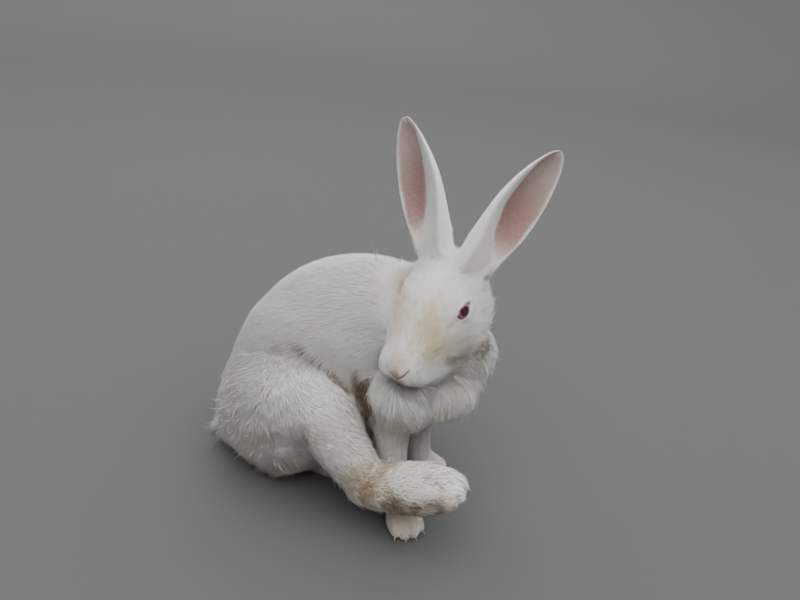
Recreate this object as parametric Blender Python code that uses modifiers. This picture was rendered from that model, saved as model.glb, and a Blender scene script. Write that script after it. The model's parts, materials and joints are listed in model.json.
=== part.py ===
"""A life-size white rabbit that sits on its rump with its right hind foot raised.

It faces -Y, its right side is -X, and it sits on z = 0. Lengths are in metres, and angles in degrees.
The body is lofted and swept as separate masses, grown together into one skin, and parted by thin cuts
into the pieces that have names. The outline is that of the coat, out to the tips of the hair.
"""

import math

import bmesh
import bpy
from mathutils import Matrix, Vector

MM = 0.001

# How the whole is made
SKIN_VOXEL = 2.8 * MM  # size of the cells that grow the masses together
SKIN_SMOOTHING = 12  # passes that round the joints between the masses
SKIN_FACES = 3080  # triangles of the whole body before it is parted
CUT_GAP = 0.4 * MM  # what is left open between two neighbours
RING_SIDES = 28  # sides of a swept mass
CUTTER_SIDES = 10  # sides of a swept cutter
PLUG_SIDES = 18

# The head, in its own frame: +X to the rabbit's left, -Y to the nose, +Z to the crown
HEAD_CENTRE = Vector((-33, -65.8, 186.5)) * MM
HEAD_TURN = 109  # to the rabbit's right
HEAD_NOD = 35.5  # nose down
HEAD_TILT = 5.5  # left cheek down
EYE_RADIUS = 9.2 * MM
EYE_PLACE = Vector((18.4, 5.8, 6.3)) * MM  # centre of the left eyeball
EYE_LOOK = Vector((0.93, -0.2, 0.3))  # the way that the left eye looks
EYE_OPENING = (4.0 * MM, 9.0 * MM, 6.4 * MM)  # half sizes of the hollow between the lids
EYE_SLANT = 18  # front corner of the eye lower
NECK_CUT = Vector((0, -32, 200)) * MM  # a point of the cut between neck and trunk
NECK_SLOPE = 49  # how far that cut leans forward
EAR_LENGTH = 101 * MM
EAR_THICKNESS = 2.6 * MM
EAR_BOW = 3 * MM  # how far an ear arches back
EAR_ROOT = Vector((12.5, 38, 15)) * MM  # root of the left ear, in the head's frame
EAR_STEPS = 2  # rows between two stations of an ear
EAR_ACROSS = 7  # columns across an ear
# side (+1 left), direction and the way that the hollow faces
EARS = {
    "ear_right": (-1, (0.20, 0.39, 0.90), (-0.70, 0.71, 0.16)),
    "ear_left": (1, (0.27, -0.49, 0.83), (-0.58, -0.77, 0.20)),
}
# along the ear, half the width, depth of the hollow, how far it wraps round (degrees)
EAR_SHAPE = (
    (0.00, 15.0, 17.0, 130),
    (0.14, 17.5, 19.0, 116),
    (0.32, 21.8, 18.0, 98),
    (0.50, 23.0, 15.0, 84),
    (0.68, 20.6, 11.0, 73),
    (0.84, 15.0, 6.6, 64),
    (0.95, 8.6, 3.0, 56),
    (1.00, 2.8, 0.8, 50),
)

# Trunk: along the body, its underside, its top, half its width and where its middle lies
TRUNK = (
    (106, 32, 64, 20, -1),
    (101, 16, 93, 36, -1),
    (90, 5, 131, 49, -1),
    (73, -2, 163, 57, 0),
    (48, -3, 187, 60, 0),
    (18, 12, 201, 58, 2),
    (-12, 28, 206, 53, 4),
    (-38, 42, 202, 45, 9),
    (-58, 54, 190, 40, 12),
    (-78, 66, 172, 36, 12),
    (-95, 82, 154, 30, 9),
    (-107, 100, 138, 18, 6),
)

# Head: along it from the crown's back to the nose, its underside, its top and half its width
HEAD = (
    (54, -22, 6, 14),
    (46, -31, 17, 22),
    (32, -37, 25, 29),
    (16, -39, 29, 31.5),
    (0, -37, 29.5, 29.5),
    (-16, -33, 26.5, 25),
    (-32, -28, 20, 21.5),
    (-45, -25, 14, 19),
    (-53, -21, 8, 16),
    (-58, -15, 2, 11),
)

# Round masses: centre, half sizes, and turns about X, Y and Z
HEAD_MASSES = (
    ((22, 16, -14), (16, 22, 20), (0, 0, 0)),  # cheek
    ((-22, 16, -14), (16, 22, 20), (0, 0, 0)),
    ((19, -5, -16), (14, 23, 14), (0, 0, 0)),  # cheek, below the eye
    ((-19, -5, -16), (14, 23, 14), (0, 0, 0)),
    ((17, 8, 12), (10.5, 15, 10), (0, 0, 0)),  # brow
    ((-17, 8, 12), (10.5, 15, 10), (0, 0, 0)),
    ((10.5, -42, -12), (12.5, 15, 12), (0, 0, 0)),  # whisker pad
    ((-10.5, -42, -12), (12.5, 15, 12), (0, 0, 0)),
    ((0, -40, -22), (10, 14, 8), (-8, 0, 0)),  # chin
)
BODY_MASSES = (
    ((1, -64, 168), (32, 34, 40), (0, 0, 0)),  # neck
    ((-4, -82, 140), (34, 37, 33), (0, 0, 0)),  # ruff
    ((-2, -66, 112), (37, 44, 38), (0, 0, 0)),  # breast
    ((-20, -90, 164), (22, 22, 22), (0, 0, 0)),  # jowl, under the left cheek
    ((-24, 51, 50), (32, 44, 48), (0, 0, 0)),  # right buttock
    ((-28, 46, 76), (38, 48, 50), (0, 0, 0)),  # right haunch
    ((34, 50, 66), (34, 54, 63), (0, 0, 0)),  # left haunch
)

# Limbs, as stations along each: place, half the width and half the height
LIMBS = {
    "thigh_right": (
        ((-24, 60, 86), 36, 46),
        ((-38, 36, 94), 34, 44),
        ((-47, 16, 98), 28, 34),
        ((-51, 8, 96), 24, 26),
    ),
    "shin_right": (
        ((-54, 8, 96), 25, 24),
        ((-58, -3, 82), 23, 21),
        ((-61, -15, 67), 20, 19.5),
        ((-64, -29, 50), 16.5, 17),
    ),
    "foot_right": (
        ((-65, -32, 39), 14, 14),
        ((-69, -44, 44), 15.5, 16),
        ((-73, -63, 52), 18, 17.5),
        ((-77, -83, 60.5), 19.5, 18),
        ((-79, -96, 65), 17, 15.5),
    ),
    "thigh_left": (
        ((34, 56, 84), 36, 46),
        ((44, 28, 76), 30, 44),
        ((50, 2, 62), 23, 34),
    ),
    "shin_left": (
        ((49, 4, 52), 20, 24),
        ((38, 30, 33), 18, 20),
        ((22, 56, 22), 16, 17),
        ((8, 76, 16), 13, 13),
    ),
    "foot_left": (
        ((4, 80, 12), 12, 12),
        ((-1, 60, 10.5), 13, 11),
        ((-6, 34, 9), 14.5, 10),
        ((-10, 8, 8.5), 16, 10),
        ((-12, -8, 8), 13, 9),
    ),
    "foreleg_right": (
        ((-22, -44, 106), 24, 30),
        ((-31, -45, 80), 15, 18),
        ((-36, -48, 56), 12, 13),
        ((-39, -54, 32), 11, 11.5),
        ((-43, -60, 17), 11, 10.5),
    ),
    "paw_right": (
        ((-43, -60, 13), 11, 11),
        ((-51, -64, 10), 13.5, 10),
        ((-60, -69, 7.5), 15.5, 9),
        ((-66, -73, 6), 13.5, 8),
    ),
    "foreleg_left": (
        ((16, -60, 106), 22, 28),
        ((14, -61, 80), 14, 17),
        ((12, -61, 56), 11, 12),
        ((12, -63, 32), 10, 11),
        ((13, -65, 17), 10.5, 10.5),
    ),
    "paw_left": (
        ((13, -65, 13), 10.5, 11),
        ((15, -72, 10), 12, 10),
        ((16.5, -79, 7), 13.5, 8.5),
        ((18, -84, 6), 11.5, 7.5),
    ),
    "tail": (
        ((-2, 82, 26), 12, 15),
        ((-3, 96, 21), 14, 17),
        ((-4, 107, 20), 13.5, 16),
        ((-5, 113, 22), 10, 11),
    ),
}
# How far the cutter of a swept limb, or of the head, reaches outside it
USUAL_REACH = 3.5 * MM
HEAD_REACH = 12 * MM
# A haunch is cut out as an oval plug along X: its inner face, its half height and half length, its tilt
PLUGS = {
    "shin_left": ((18, 36, 24), 23, 56, -6),
    "thigh_left": ((26, 34, 80), 50, 64, 8),
    "thigh_right": ((-22, 38, 88), 50, 60, -4),
}
TAIL_CUT = ((-4, 107, 24), (19, 24, 25))  # an oval ball, its middle and half sizes
# The order in which the pieces are cut off, from the tips inwards
CUT_ORDER = (
    "foot_right",
    "foot_left",
    "paw_right",
    "paw_left",
    "shin_right",
    "foreleg_right",
    "foreleg_left",
    "shin_left",
    "thigh_right",
    "thigh_left",
    "tail",
)

# Toes: how many, how far they fan out and reach ahead, their size and the claw's length
TOES = {
    "foot_right": (4, 11.5, 9.0, (6.5, 11, 8.5), 6.5),
    "foot_left": (4, 10.5, 4.0, (5.4, 9.5, 5.4), 6.5),
    "paw_right": (4, 10.5, 2.0, (5.0, 8.0, 5.0), 6.5),
    "paw_left": (4, 9.0, 2.0, (4.6, 7.5, 4.8), 6.0),
}
TOE_REACH = 6  # how much farther out a foot's cutter goes round its toes, in millimetres
CLAW_RADIUS = 1.5 * MM
CLAW_DEPTH = 3.5  # how far inside the front of its toe a claw starts, in millimetres
CLAW_LEAN = 20  # how far a claw points down
CLAW_SIDES = 5

WHITE_COAT = ("white_coat", (0.83, 0.82, 0.79), 0.9)
EAR_SKIN = ("ear_skin", (0.80, 0.66, 0.62), 0.75)
RUBY_EYE = ("ruby_eye", (0.42, 0.10, 0.14), 0.1)
HORN = ("claw_horn", (0.72, 0.62, 0.52), 0.45)


def clear_scene():
    for old in list(bpy.data.objects):
        bpy.data.objects.remove(old)


def new_collection(name):
    made = bpy.data.collections.new(name)
    bpy.context.scene.collection.children.link(made)
    return made


def material(settings):
    name, colour, roughness = settings
    made = bpy.data.materials.get(name)
    if made is None:
        made = bpy.data.materials.new(name)
        made.use_nodes = True
        shader = made.node_tree.nodes["Principled BSDF"]
        shader.inputs["Base Color"].default_value = (*colour, 1)
        shader.inputs["Roughness"].default_value = roughness
        shader.inputs["Metallic"].default_value = 0
    return made


def add_object(name, mesh, collection, finish=None):
    made = bpy.data.objects.new(name, mesh)
    collection.objects.link(made)
    if finish:
        mesh.materials.clear()
        mesh.materials.append(material(finish))
    return made


def as_mesh(bm, name):
    mesh = bpy.data.meshes.new(name)
    bmesh.ops.recalc_face_normals(bm, faces=bm.faces)
    bm.to_mesh(mesh)
    bm.free()
    return mesh


def evaluated_mesh(obj):
    graph = bpy.context.evaluated_depsgraph_get()
    return bpy.data.meshes.new_from_object(obj.evaluated_get(graph))


def catmull_rom(values, steps):
    """Rows of numbers, smoothed: each stretch between two rows is cut into steps."""
    rows = [values[0], *values, values[-1]]
    smooth = []
    for before, start, end, after in zip(rows, rows[1:], rows[2:], rows[3:]):
        for step in range(steps):
            t = step / steps
            smooth.append(
                [
                    0.5 * (2 * b + (c - a) * t + (2 * a - 5 * b + 4 * c - d) * t * t + (3 * b - a - 3 * c + d) * t**3)
                    for a, b, c, d in zip(before, start, end, after)
                ]
            )
    smooth.append(list(values[-1]))
    return smooth


def skin_over(bm, rings):
    """Closes the rings of points, one after another, into one shell with flat ends."""
    loops = [[bm.verts.new(point) for point in ring] for ring in rings]
    for first, second in zip(loops, loops[1:]):
        for i in range(len(first)):
            j = (i + 1) % len(first)
            bm.faces.new((first[i], first[j], second[j], second[i]))
    bm.faces.new(loops[0][::-1])
    bm.faces.new(loops[-1])


def oval(centre, across, up, sides):
    """Points round an oval whose half axes are the two vectors."""
    turns = [math.tau * i / sides for i in range(sides)]
    return [centre + across * math.cos(turn) + up * math.sin(turn) for turn in turns]


def add_profile(bm, sections, frame, sides=RING_SIDES, steps=3):
    """A loft of upright ovals along Y: (y, underside, top, half width, middle) in millimetres."""
    rings = []
    for row in catmull_rom(sections, steps):
        y, low, high, half_width = row[:4]
        middle = row[4] if len(row) > 4 else 0
        centre = Vector((middle, y, (low + high) / 2)) * MM
        across = Vector((half_width, 0, 0)) * MM
        up = Vector((0, 0, (high - low) / 2)) * MM
        rings.append([frame @ point for point in oval(centre, across, up, sides)])
    skin_over(bm, rings)


def add_limb(bm, stations, sides, steps, grow=0.0):
    """A round-ended sweep through (place, half width, half height) in millimetres."""
    rows = catmull_rom([(*place, width, height) for place, width, height in stations], steps)
    places = [Vector(row[:3]) * MM for row in rows]
    widths = [row[3] * MM + grow for row in rows]
    heights = [row[4] * MM + grow for row in rows]
    tangents = []
    for i in range(len(places)):
        ahead = places[min(i + 1, len(places) - 1)] - places[max(i - 1, 0)]
        tangents.append(ahead.normalized())
    across = tangents[0].cross(Vector((0, 0, 1))).normalized()
    rings = []

    def ring(i, along, shrink):
        nonlocal across
        across = (across - tangents[i] * across.dot(tangents[i])).normalized()
        up = across.cross(tangents[i])
        centre = places[i] + tangents[i] * along
        rings.append(oval(centre, across * widths[i] * shrink, up * heights[i] * shrink, sides))

    dome = [math.radians(angle) for angle in ((80, 55, 28) if steps > 1 else (70, 35))]
    for turn in dome:
        ring(0, -min(widths[0], heights[0]) * math.sin(turn), math.cos(turn))
    for i in range(len(places)):
        ring(i, 0, 1)
    for turn in reversed(dome):
        ring(len(places) - 1, min(widths[-1], heights[-1]) * math.sin(turn), math.cos(turn))
    skin_over(bm, rings)


def add_mass(bm, centre, sizes, turns, frame=None, segments=24):
    """An oval ball, in millimetres, in the frame given."""
    made = bmesh.ops.create_uvsphere(bm, u_segments=segments, v_segments=segments // 2, radius=1)
    made = made["verts"]
    turned = Matrix.Identity(4)
    for angle, axis in zip(turns, "XYZ"):
        turned = Matrix.Rotation(math.radians(angle), 4, axis) @ turned
    stretched = Matrix.Diagonal((*(size * MM for size in sizes), 1))
    placed = Matrix.Translation(Vector(centre) * MM) @ turned @ stretched
    bmesh.ops.transform(bm, matrix=(frame or Matrix.Identity(4)) @ placed, verts=made)


def head_frame():
    turned = Matrix.Rotation(math.radians(-HEAD_TURN), 4, "Z")
    turned = turned @ Matrix.Rotation(math.radians(HEAD_NOD), 4, "X")
    turned = turned @ Matrix.Rotation(math.radians(HEAD_TILT), 4, "Y")
    return Matrix.Translation(HEAD_CENTRE) @ turned


def foot_frame(limb):
    """Where the toes of a limb spring from: its tip, ahead, across and up."""
    (before, _, _), (tip, _, _) = LIMBS[limb][-2:]
    ahead = (Vector(tip) - Vector(before)).normalized()
    across = ahead.cross(Vector((0, 0, 1))).normalized()
    return Vector(tip) * MM, ahead, across, across.cross(ahead)


def toe_frames(limb):
    """A frame for each toe, with -Y along the toe and +Z up."""
    count, fan, reach, _, _ = TOES[limb]
    tip, ahead, across, up = foot_frame(limb)
    for i in range(count):
        share = 2 * i / (count - 1) - 1
        forward = (ahead + across * share * 0.28).normalized()
        side = forward.cross(up).normalized()
        place = tip + across * share * fan * MM + ahead * (reach - 4 * abs(share) ** 1.5) * MM
        turned = Matrix((side, -forward, side.cross(forward))).transposed().to_4x4()
        yield Matrix.Translation(place) @ turned


def whole_body(helpers):
    """Every mass grown together into one closed skin, as a mesh."""
    bm = bmesh.new()
    add_profile(bm, TRUNK, Matrix.Identity(4))
    add_profile(bm, HEAD, head_frame())
    for centre, sizes, turns in BODY_MASSES:
        add_mass(bm, centre, sizes, turns)
    for centre, sizes, turns in HEAD_MASSES:
        add_mass(bm, centre, sizes, turns, head_frame())
    for stations in LIMBS.values():
        add_limb(bm, stations, RING_SIDES, 4)
    for limb, (_, _, _, sizes, _) in TOES.items():
        for frame in toe_frames(limb):
            add_mass(bm, (0, 0, 0), sizes, (0, 0, 0), frame)
    raw = add_object("grown_body", as_mesh(bm, "grown_body"), helpers)
    raw.hide_render = True
    grow = raw.modifiers.new("Grow together", "REMESH")
    grow.mode = "VOXEL"
    grow.voxel_size = SKIN_VOXEL
    smooth = raw.modifiers.new("Round the joints", "SMOOTH")
    smooth.factor = 0.5
    smooth.iterations = SKIN_SMOOTHING
    full = len(evaluated_mesh(raw).polygons) * 2
    fewer = raw.modifiers.new("Fewer faces", "DECIMATE")
    fewer.ratio = SKIN_FACES / full
    mesh = evaluated_mesh(raw)
    bpy.data.objects.remove(raw)
    return mesh


def stand_flat(mesh):
    """Cuts the mesh level with the floor and closes it, so that it stands on small flats."""
    bm = bmesh.new()
    bm.from_mesh(mesh)
    everything = bm.verts[:] + bm.edges[:] + bm.faces[:]
    cut = bmesh.ops.bisect_plane(
        bm, geom=everything, plane_co=(0, 0, 0), plane_no=(0, 0, 1), clear_inner=True
    )
    rim = [edge for edge in cut["geom_cut"] if isinstance(edge, bmesh.types.BMEdge)]
    bmesh.ops.edgeloop_fill(bm, edges=rim)
    bmesh.ops.triangulate(bm, faces=bm.faces)
    bm.to_mesh(mesh)
    bm.free()


def boolean(mesh, cutter, operation, helpers):
    """The mesh cut by, or kept inside, the cutter mesh."""
    base = add_object("base", mesh, helpers)
    tool = add_object("tool", cutter, helpers)
    tool.hide_render = True
    change = base.modifiers.new(operation, "BOOLEAN")
    change.operation = operation
    change.object = tool
    result = evaluated_mesh(base)
    bpy.data.objects.remove(base)
    bpy.data.objects.remove(tool)
    return result


def limb_cutter(limb, grow):
    """The sweep of a limb, grown, and wide enough at its end to take in the toes."""
    bm = bmesh.new()
    if limb in PLUGS:
        inner, half_height, half_length, tilt = PLUGS[limb]
        add_plug(bm, inner, half_height * MM + grow, half_length * MM + grow, tilt, grow)
    elif limb == "tail":
        centre, sizes = TAIL_CUT
        add_mass(bm, centre, [size + grow / MM for size in sizes], (0, 0, 0), segments=12)
    else:
        stations = list(LIMBS[limb])
        if limb in TOES:
            place, width, height = stations[-1]
            _, ahead, _, _ = foot_frame(limb)
            reach = TOE_REACH + TOES[limb][2]
            stations[-1] = (place, width + TOE_REACH, height + TOE_REACH / 2)
            stations.append((tuple(Vector(place) + ahead * reach), width, height))
        add_limb(bm, stations, CUTTER_SIDES, 1, grow + USUAL_REACH)
    return as_mesh(bm, "cutter")


def add_plug(bm, inner, half_height, half_length, tilt, deeper):
    """A long oval plug that runs outwards along X from its inner face."""
    outward = math.copysign(1, inner[0])
    turned = Matrix.Rotation(math.radians(tilt), 3, "X")
    start = Vector(inner) * MM - Vector((outward * deeper, 0, 0))
    end = start + Vector((outward * 90 * MM, 0, 0))
    up, along = turned @ Vector((0, 0, half_height)), turned @ Vector((0, half_length, 0))
    skin_over(bm, [oval(start, along, up, PLUG_SIDES), oval(end, along, up, PLUG_SIDES)])


def block(low, high, frame):
    """A box from its low to its high corner, in millimetres, in the frame given."""
    bm = bmesh.new()
    low, high = Vector(low) * MM, Vector(high) * MM
    made = bmesh.ops.create_cube(bm, size=1)["verts"]
    place = Matrix.Translation((low + high) / 2) @ Matrix.Diagonal((*(high - low), 1))
    bmesh.ops.transform(bm, matrix=frame @ place, verts=made)
    return as_mesh(bm, "block")


def head_cutter(grow):
    """The loft of the head, grown all round and longer at both ends."""
    reach = grow / MM
    sections = [(y, low - reach, high + reach, half + reach) for y, low, high, half in HEAD[1::2]]
    back, nose = HEAD[0], HEAD[-1]
    sections.insert(0, (back[0] + reach, back[1], back[2], back[3]))
    sections.append((nose[0] - reach, nose[1], nose[2], nose[3]))
    bm = bmesh.new()
    add_profile(bm, sections, head_frame(), CUTTER_SIDES, 1)
    return as_mesh(bm, "cutter")


def islands(bm):
    """The separate shells of a mesh, each as a list of faces, the largest first."""
    left = set(bm.faces)
    found = []
    while left:
        waiting = [left.pop()]
        shell = []
        while waiting:
            face = waiting.pop()
            shell.append(face)
            for edge in face.edges:
                for other in edge.link_faces:
                    if other in left:
                        left.remove(other)
                        waiting.append(other)
        found.append(shell)
    return sorted(found, key=volume_of, reverse=True)


def volume_of(faces):
    total = 0.0
    for face in faces:
        first, *others = [vert.co for vert in face.verts]
        for second, third in zip(others, others[1:]):
            total += first.dot(second.cross(third)) / 6
    return total


def largest_only(mesh, name):
    """Leaves a mesh one closed shell, without the slivers that a cut leaves."""
    bm = bmesh.new()
    bm.from_mesh(mesh)
    bmesh.ops.remove_doubles(bm, verts=bm.verts, dist=0.02 * MM)
    bmesh.ops.dissolve_degenerate(bm, edges=bm.edges, dist=0.02 * MM)
    for shell in islands(bm)[1:]:
        print(f"{name}: a loose bit of {volume_of(shell) * 1e9:.1f} mm3 goes")
        bmesh.ops.delete(bm, geom=shell, context="FACES")
    flat = math.radians(1)
    bmesh.ops.dissolve_limit(bm, angle_limit=flat, verts=bm.verts, edges=bm.edges)
    bmesh.ops.triangulate(bm, faces=bm.faces)
    loose = [vert for vert in bm.verts if not vert.link_faces]
    bmesh.ops.delete(bm, geom=loose, context="VERTS")
    made = bpy.data.meshes.new(name)
    bm.to_mesh(made)
    bm.free()
    return made


def part_body(whole, helpers):
    """Cuts the whole skin into its named pieces, with a thin gap between neighbours."""
    pieces = {}
    rest = whole
    for limb in CUT_ORDER:
        pieces[limb] = boolean(rest.copy(), limb_cutter(limb, 0), "INTERSECT", helpers)
        rest = boolean(rest, limb_cutter(limb, CUT_GAP), "DIFFERENCE", helpers)
    pieces["head"] = boolean(rest.copy(), head_cutter(HEAD_REACH), "INTERSECT", helpers)
    rest = boolean(rest, head_cutter(HEAD_REACH + CUT_GAP), "DIFFERENCE", helpers)
    slope = Matrix.Translation(NECK_CUT) @ Matrix.Rotation(math.radians(NECK_SLOPE), 4, "X")
    ahead = block((-200, -300, 0), (200, 300, 300), slope)
    ahead_too = block((-200, -300, -CUT_GAP / MM), (200, 300, 300), slope)
    pieces["neck"] = boolean(rest.copy(), ahead, "INTERSECT", helpers)
    pieces["trunk"] = boolean(rest, ahead_too, "DIFFERENCE", helpers)
    return pieces


def ear_shell(side, direction, hollow):
    """A tapering trough of even thickness, a tube at its root, as one closed shell."""
    root = head_frame() @ Vector((side * EAR_ROOT.x, EAR_ROOT.y, EAR_ROOT.z))
    along = Vector(direction).normalized()
    front = Vector(hollow)
    front = (front - along * front.dot(along)).normalized()
    across = along.cross(front)
    rings = []
    for share, half_width, depth, wrap in catmull_rom(EAR_SHAPE, EAR_STEPS):
        turn = math.radians(wrap)
        wide = half_width / math.sin(min(turn, math.pi / 2))
        deep = depth / (1 - math.cos(turn))
        middle = deep * (1 + math.cos(turn)) / 2 - EAR_BOW * math.sin(math.pi * share) / MM
        centre = root + along * (share * EAR_LENGTH) + front * middle * MM
        wall = EAR_THICKNESS / MM / 2 * (1 if share < 0.9 else 0.75)
        ring = []
        for outward in (1, -1):
            for i in range(EAR_ACROSS + 1):
                angle = outward * turn * (2 * i / EAR_ACROSS - 1)
                reach = outward * wall
                x = (wide + reach) * math.sin(angle)
                y = -(deep + reach) * math.cos(angle)
                ring.append(centre + across * x * MM + front * y * MM)
        rings.append(ring)
    bm = bmesh.new()
    skin_over(bm, rings)
    bmesh.ops.triangulate(bm, faces=bm.faces)
    return as_mesh(bm, "ear")


def ball(centre, sizes, frame, name, segments=14):
    bm = bmesh.new()
    made = bmesh.ops.create_uvsphere(bm, u_segments=segments, v_segments=segments // 2, radius=1)
    place = Matrix.Translation(Vector(centre)) @ Matrix.Diagonal((*sizes, 1))
    bmesh.ops.transform(bm, matrix=frame @ place, verts=made["verts"])
    return as_mesh(bm, name)


def open_eye(head, side, helpers):
    """Hollows a socket round the eyeball, and an almond-shaped opening between the lids."""
    place = Vector((side * EYE_PLACE.x, EYE_PLACE.y, EYE_PLACE.z))
    socket = ball(place, [EYE_RADIUS + CUT_GAP] * 3, head_frame(), "socket")
    head = boolean(head, socket, "DIFFERENCE", helpers)
    outward = Vector((side * EYE_LOOK.x, EYE_LOOK.y, EYE_LOOK.z)).normalized()
    slant = Matrix.Rotation(math.radians(EYE_SLANT), 4, "X")
    frame = head_frame() @ Matrix.Translation(place + outward * EYE_RADIUS) @ slant
    opening = ball((0, 0, 0), EYE_OPENING, frame, "opening", 12)
    return boolean(head, opening, "DIFFERENCE", helpers)


def claw(frame, length):
    """A blunt cone that leans down from the front of its toe."""
    bm = bmesh.new()
    made = bmesh.ops.create_cone(
        bm, cap_ends=True, segments=CLAW_SIDES, radius1=CLAW_RADIUS, radius2=0.45 * MM, depth=length
    )["verts"]
    lean = Matrix.Rotation(math.radians(90 + CLAW_LEAN), 4, "X")
    bmesh.ops.translate(bm, vec=(0, 0, length / 2), verts=made)
    bmesh.ops.transform(bm, matrix=frame @ lean, verts=made)
    return as_mesh(bm, "claw")


def centre_over_origin(objects):
    """Moves all the pieces so that the middle of the box round them is over the origin."""
    points = [vert.co for obj in objects for vert in obj.data.vertices]
    shift = Matrix.Identity(4)
    for axis in (0, 1):
        values = [point[axis] for point in points]
        shift[axis][3] = -(min(values) + max(values)) / 2
    for obj in objects:
        obj.data.transform(shift)


def main():
    clear_scene()
    rabbit = new_collection("sitting_white_rabbit")
    helpers = new_collection("helpers")
    whole = whole_body(helpers)
    stand_flat(whole)
    swollen = add_object("swollen", whole.copy(), helpers)
    swell = swollen.modifiers.new("Swell", "DISPLACE")
    swell.strength = CUT_GAP
    swell.mid_level = 0
    clear_of = evaluated_mesh(swollen)
    bpy.data.objects.remove(swollen)

    for name, (side, direction, hollow) in EARS.items():
        shell = boolean(ear_shell(side, direction, hollow), clear_of.copy(), "DIFFERENCE", helpers)
        add_object(name, largest_only(shell, name), rabbit, EAR_SKIN)
    for limb, (_, _, _, sizes, length) in TOES.items():
        for number, frame in enumerate(toe_frames(limb), 1):
            root = Vector((0, CLAW_DEPTH - sizes[1], -sizes[2] * 0.2)) * MM
            place = frame @ Matrix.Translation(root)
            horn = boolean(claw(place, length * MM), clear_of.copy(), "DIFFERENCE", helpers)
            name = f"claw_{limb}_{number}"
            add_object(name, largest_only(horn, name), rabbit, HORN)
    for name, side in (("eye_left", 1), ("eye_right", -1)):
        place = (side * EYE_PLACE.x, EYE_PLACE.y, EYE_PLACE.z)
        mesh = ball(place, [EYE_RADIUS] * 3, head_frame(), name)
        add_object(name, mesh, rabbit, RUBY_EYE)
    pieces = part_body(whole, helpers)
    for side in (1, -1):
        pieces["head"] = open_eye(pieces["head"], side, helpers)
    for name, mesh in pieces.items():
        add_object(name, largest_only(mesh, name), rabbit, WHITE_COAT)
    centre_over_origin(rabbit.objects)


main()
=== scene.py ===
import json
import math

import bmesh
import bpy
import numpy as np
from mathutils import Matrix, Vector
from mathutils.bvhtree import BVHTree
from mathutils.kdtree import KDTree

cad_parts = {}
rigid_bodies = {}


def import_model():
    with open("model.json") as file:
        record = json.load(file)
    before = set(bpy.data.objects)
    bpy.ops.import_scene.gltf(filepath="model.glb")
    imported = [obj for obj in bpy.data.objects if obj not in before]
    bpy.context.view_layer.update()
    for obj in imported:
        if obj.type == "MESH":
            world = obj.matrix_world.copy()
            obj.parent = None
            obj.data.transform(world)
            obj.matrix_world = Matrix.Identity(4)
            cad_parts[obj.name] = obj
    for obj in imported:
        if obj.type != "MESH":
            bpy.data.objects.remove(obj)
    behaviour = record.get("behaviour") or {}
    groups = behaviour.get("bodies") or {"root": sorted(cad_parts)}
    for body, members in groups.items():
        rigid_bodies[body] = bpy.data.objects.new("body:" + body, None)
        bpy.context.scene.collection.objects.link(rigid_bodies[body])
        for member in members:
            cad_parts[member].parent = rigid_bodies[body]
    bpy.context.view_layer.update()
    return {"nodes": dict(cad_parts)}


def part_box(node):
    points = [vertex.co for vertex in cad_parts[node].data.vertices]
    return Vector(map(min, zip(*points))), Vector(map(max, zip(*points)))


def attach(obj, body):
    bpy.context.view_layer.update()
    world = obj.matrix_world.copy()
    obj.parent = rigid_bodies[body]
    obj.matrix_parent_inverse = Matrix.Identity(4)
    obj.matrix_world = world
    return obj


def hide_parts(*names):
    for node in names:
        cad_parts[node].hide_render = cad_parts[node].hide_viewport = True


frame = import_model()
mm = 0.001
nodes = frame["nodes"]
random = np.random.default_rng(11)

# camera, floor and light

camera = {"place": (-0.4548, -0.1093, 0.405), "heading": -80, "down": 26, "roll": 6, "lens": 30.15}
light = {
    "sun": {"from": (-0.55, -0.25, 1.0), "soft": 75, "power": 2.45, "colour": (1.0, 0.985, 0.96)},
    "fill": {"from": (-1.0, -0.40, 0.12), "soft": 90, "power": 2.1, "colour": (0.98, 0.985, 1.0)},
    "back": {"from": (1.0, 0.1, 0.55), "soft": 90, "power": 1.4, "colour": (0.97, 0.98, 1.0)},
    "sky": (0.87, 0.895, 0.93),
    "skyStrength": 1.75,
    "floor": (0.105, 0.105, 0.103),
}
sweep = {"flat": 2.4, "bend": 1.0, "rise": 1.8, "steps": 12}  # the floor bends up into a low wall, in metres


def newObject(name, data):
    made = bpy.data.objects.new(name, data)
    bpy.context.scene.collection.objects.link(made)
    return made


def makeCamera():
    made = newObject("camera", bpy.data.cameras.new("camera"))
    made.data.sensor_width = 36
    made.data.lens = camera["lens"]
    turn = Matrix.Rotation(math.radians(camera["heading"]), 4, "Z")
    turn = turn @ Matrix.Rotation(math.radians(90 - camera["down"]), 4, "X")
    turn = turn @ Matrix.Rotation(math.radians(camera["roll"]), 4, "Z")
    made.matrix_world = Matrix.Translation(camera["place"]) @ turn
    bpy.context.scene.camera = made


def makeSun(name):
    made = newObject(name, bpy.data.lights.new(name, "SUN"))
    made.data.angle = math.radians(light[name]["soft"])
    made.data.energy = light[name]["power"]
    made.data.color = light[name]["colour"]
    place = Vector(light[name]["from"])
    made.matrix_world = Matrix.Translation(place) @ (-place).to_track_quat("-Z", "Y").to_matrix().to_4x4()


# shader maths


class Wire:
    # a value inside a material: sums on it add Math nodes
    def __init__(self, paint, socket):
        self.paint = paint
        self.socket = socket

    def sum(self, operation, first, second):
        return self.paint.node("ShaderNodeMath", {"operation": operation}, {0: first, 1: second})

    def __add__(self, other):
        return self.sum("ADD", self, other)

    def __mul__(self, other):
        return self.sum("MULTIPLY", self, other)


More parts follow.
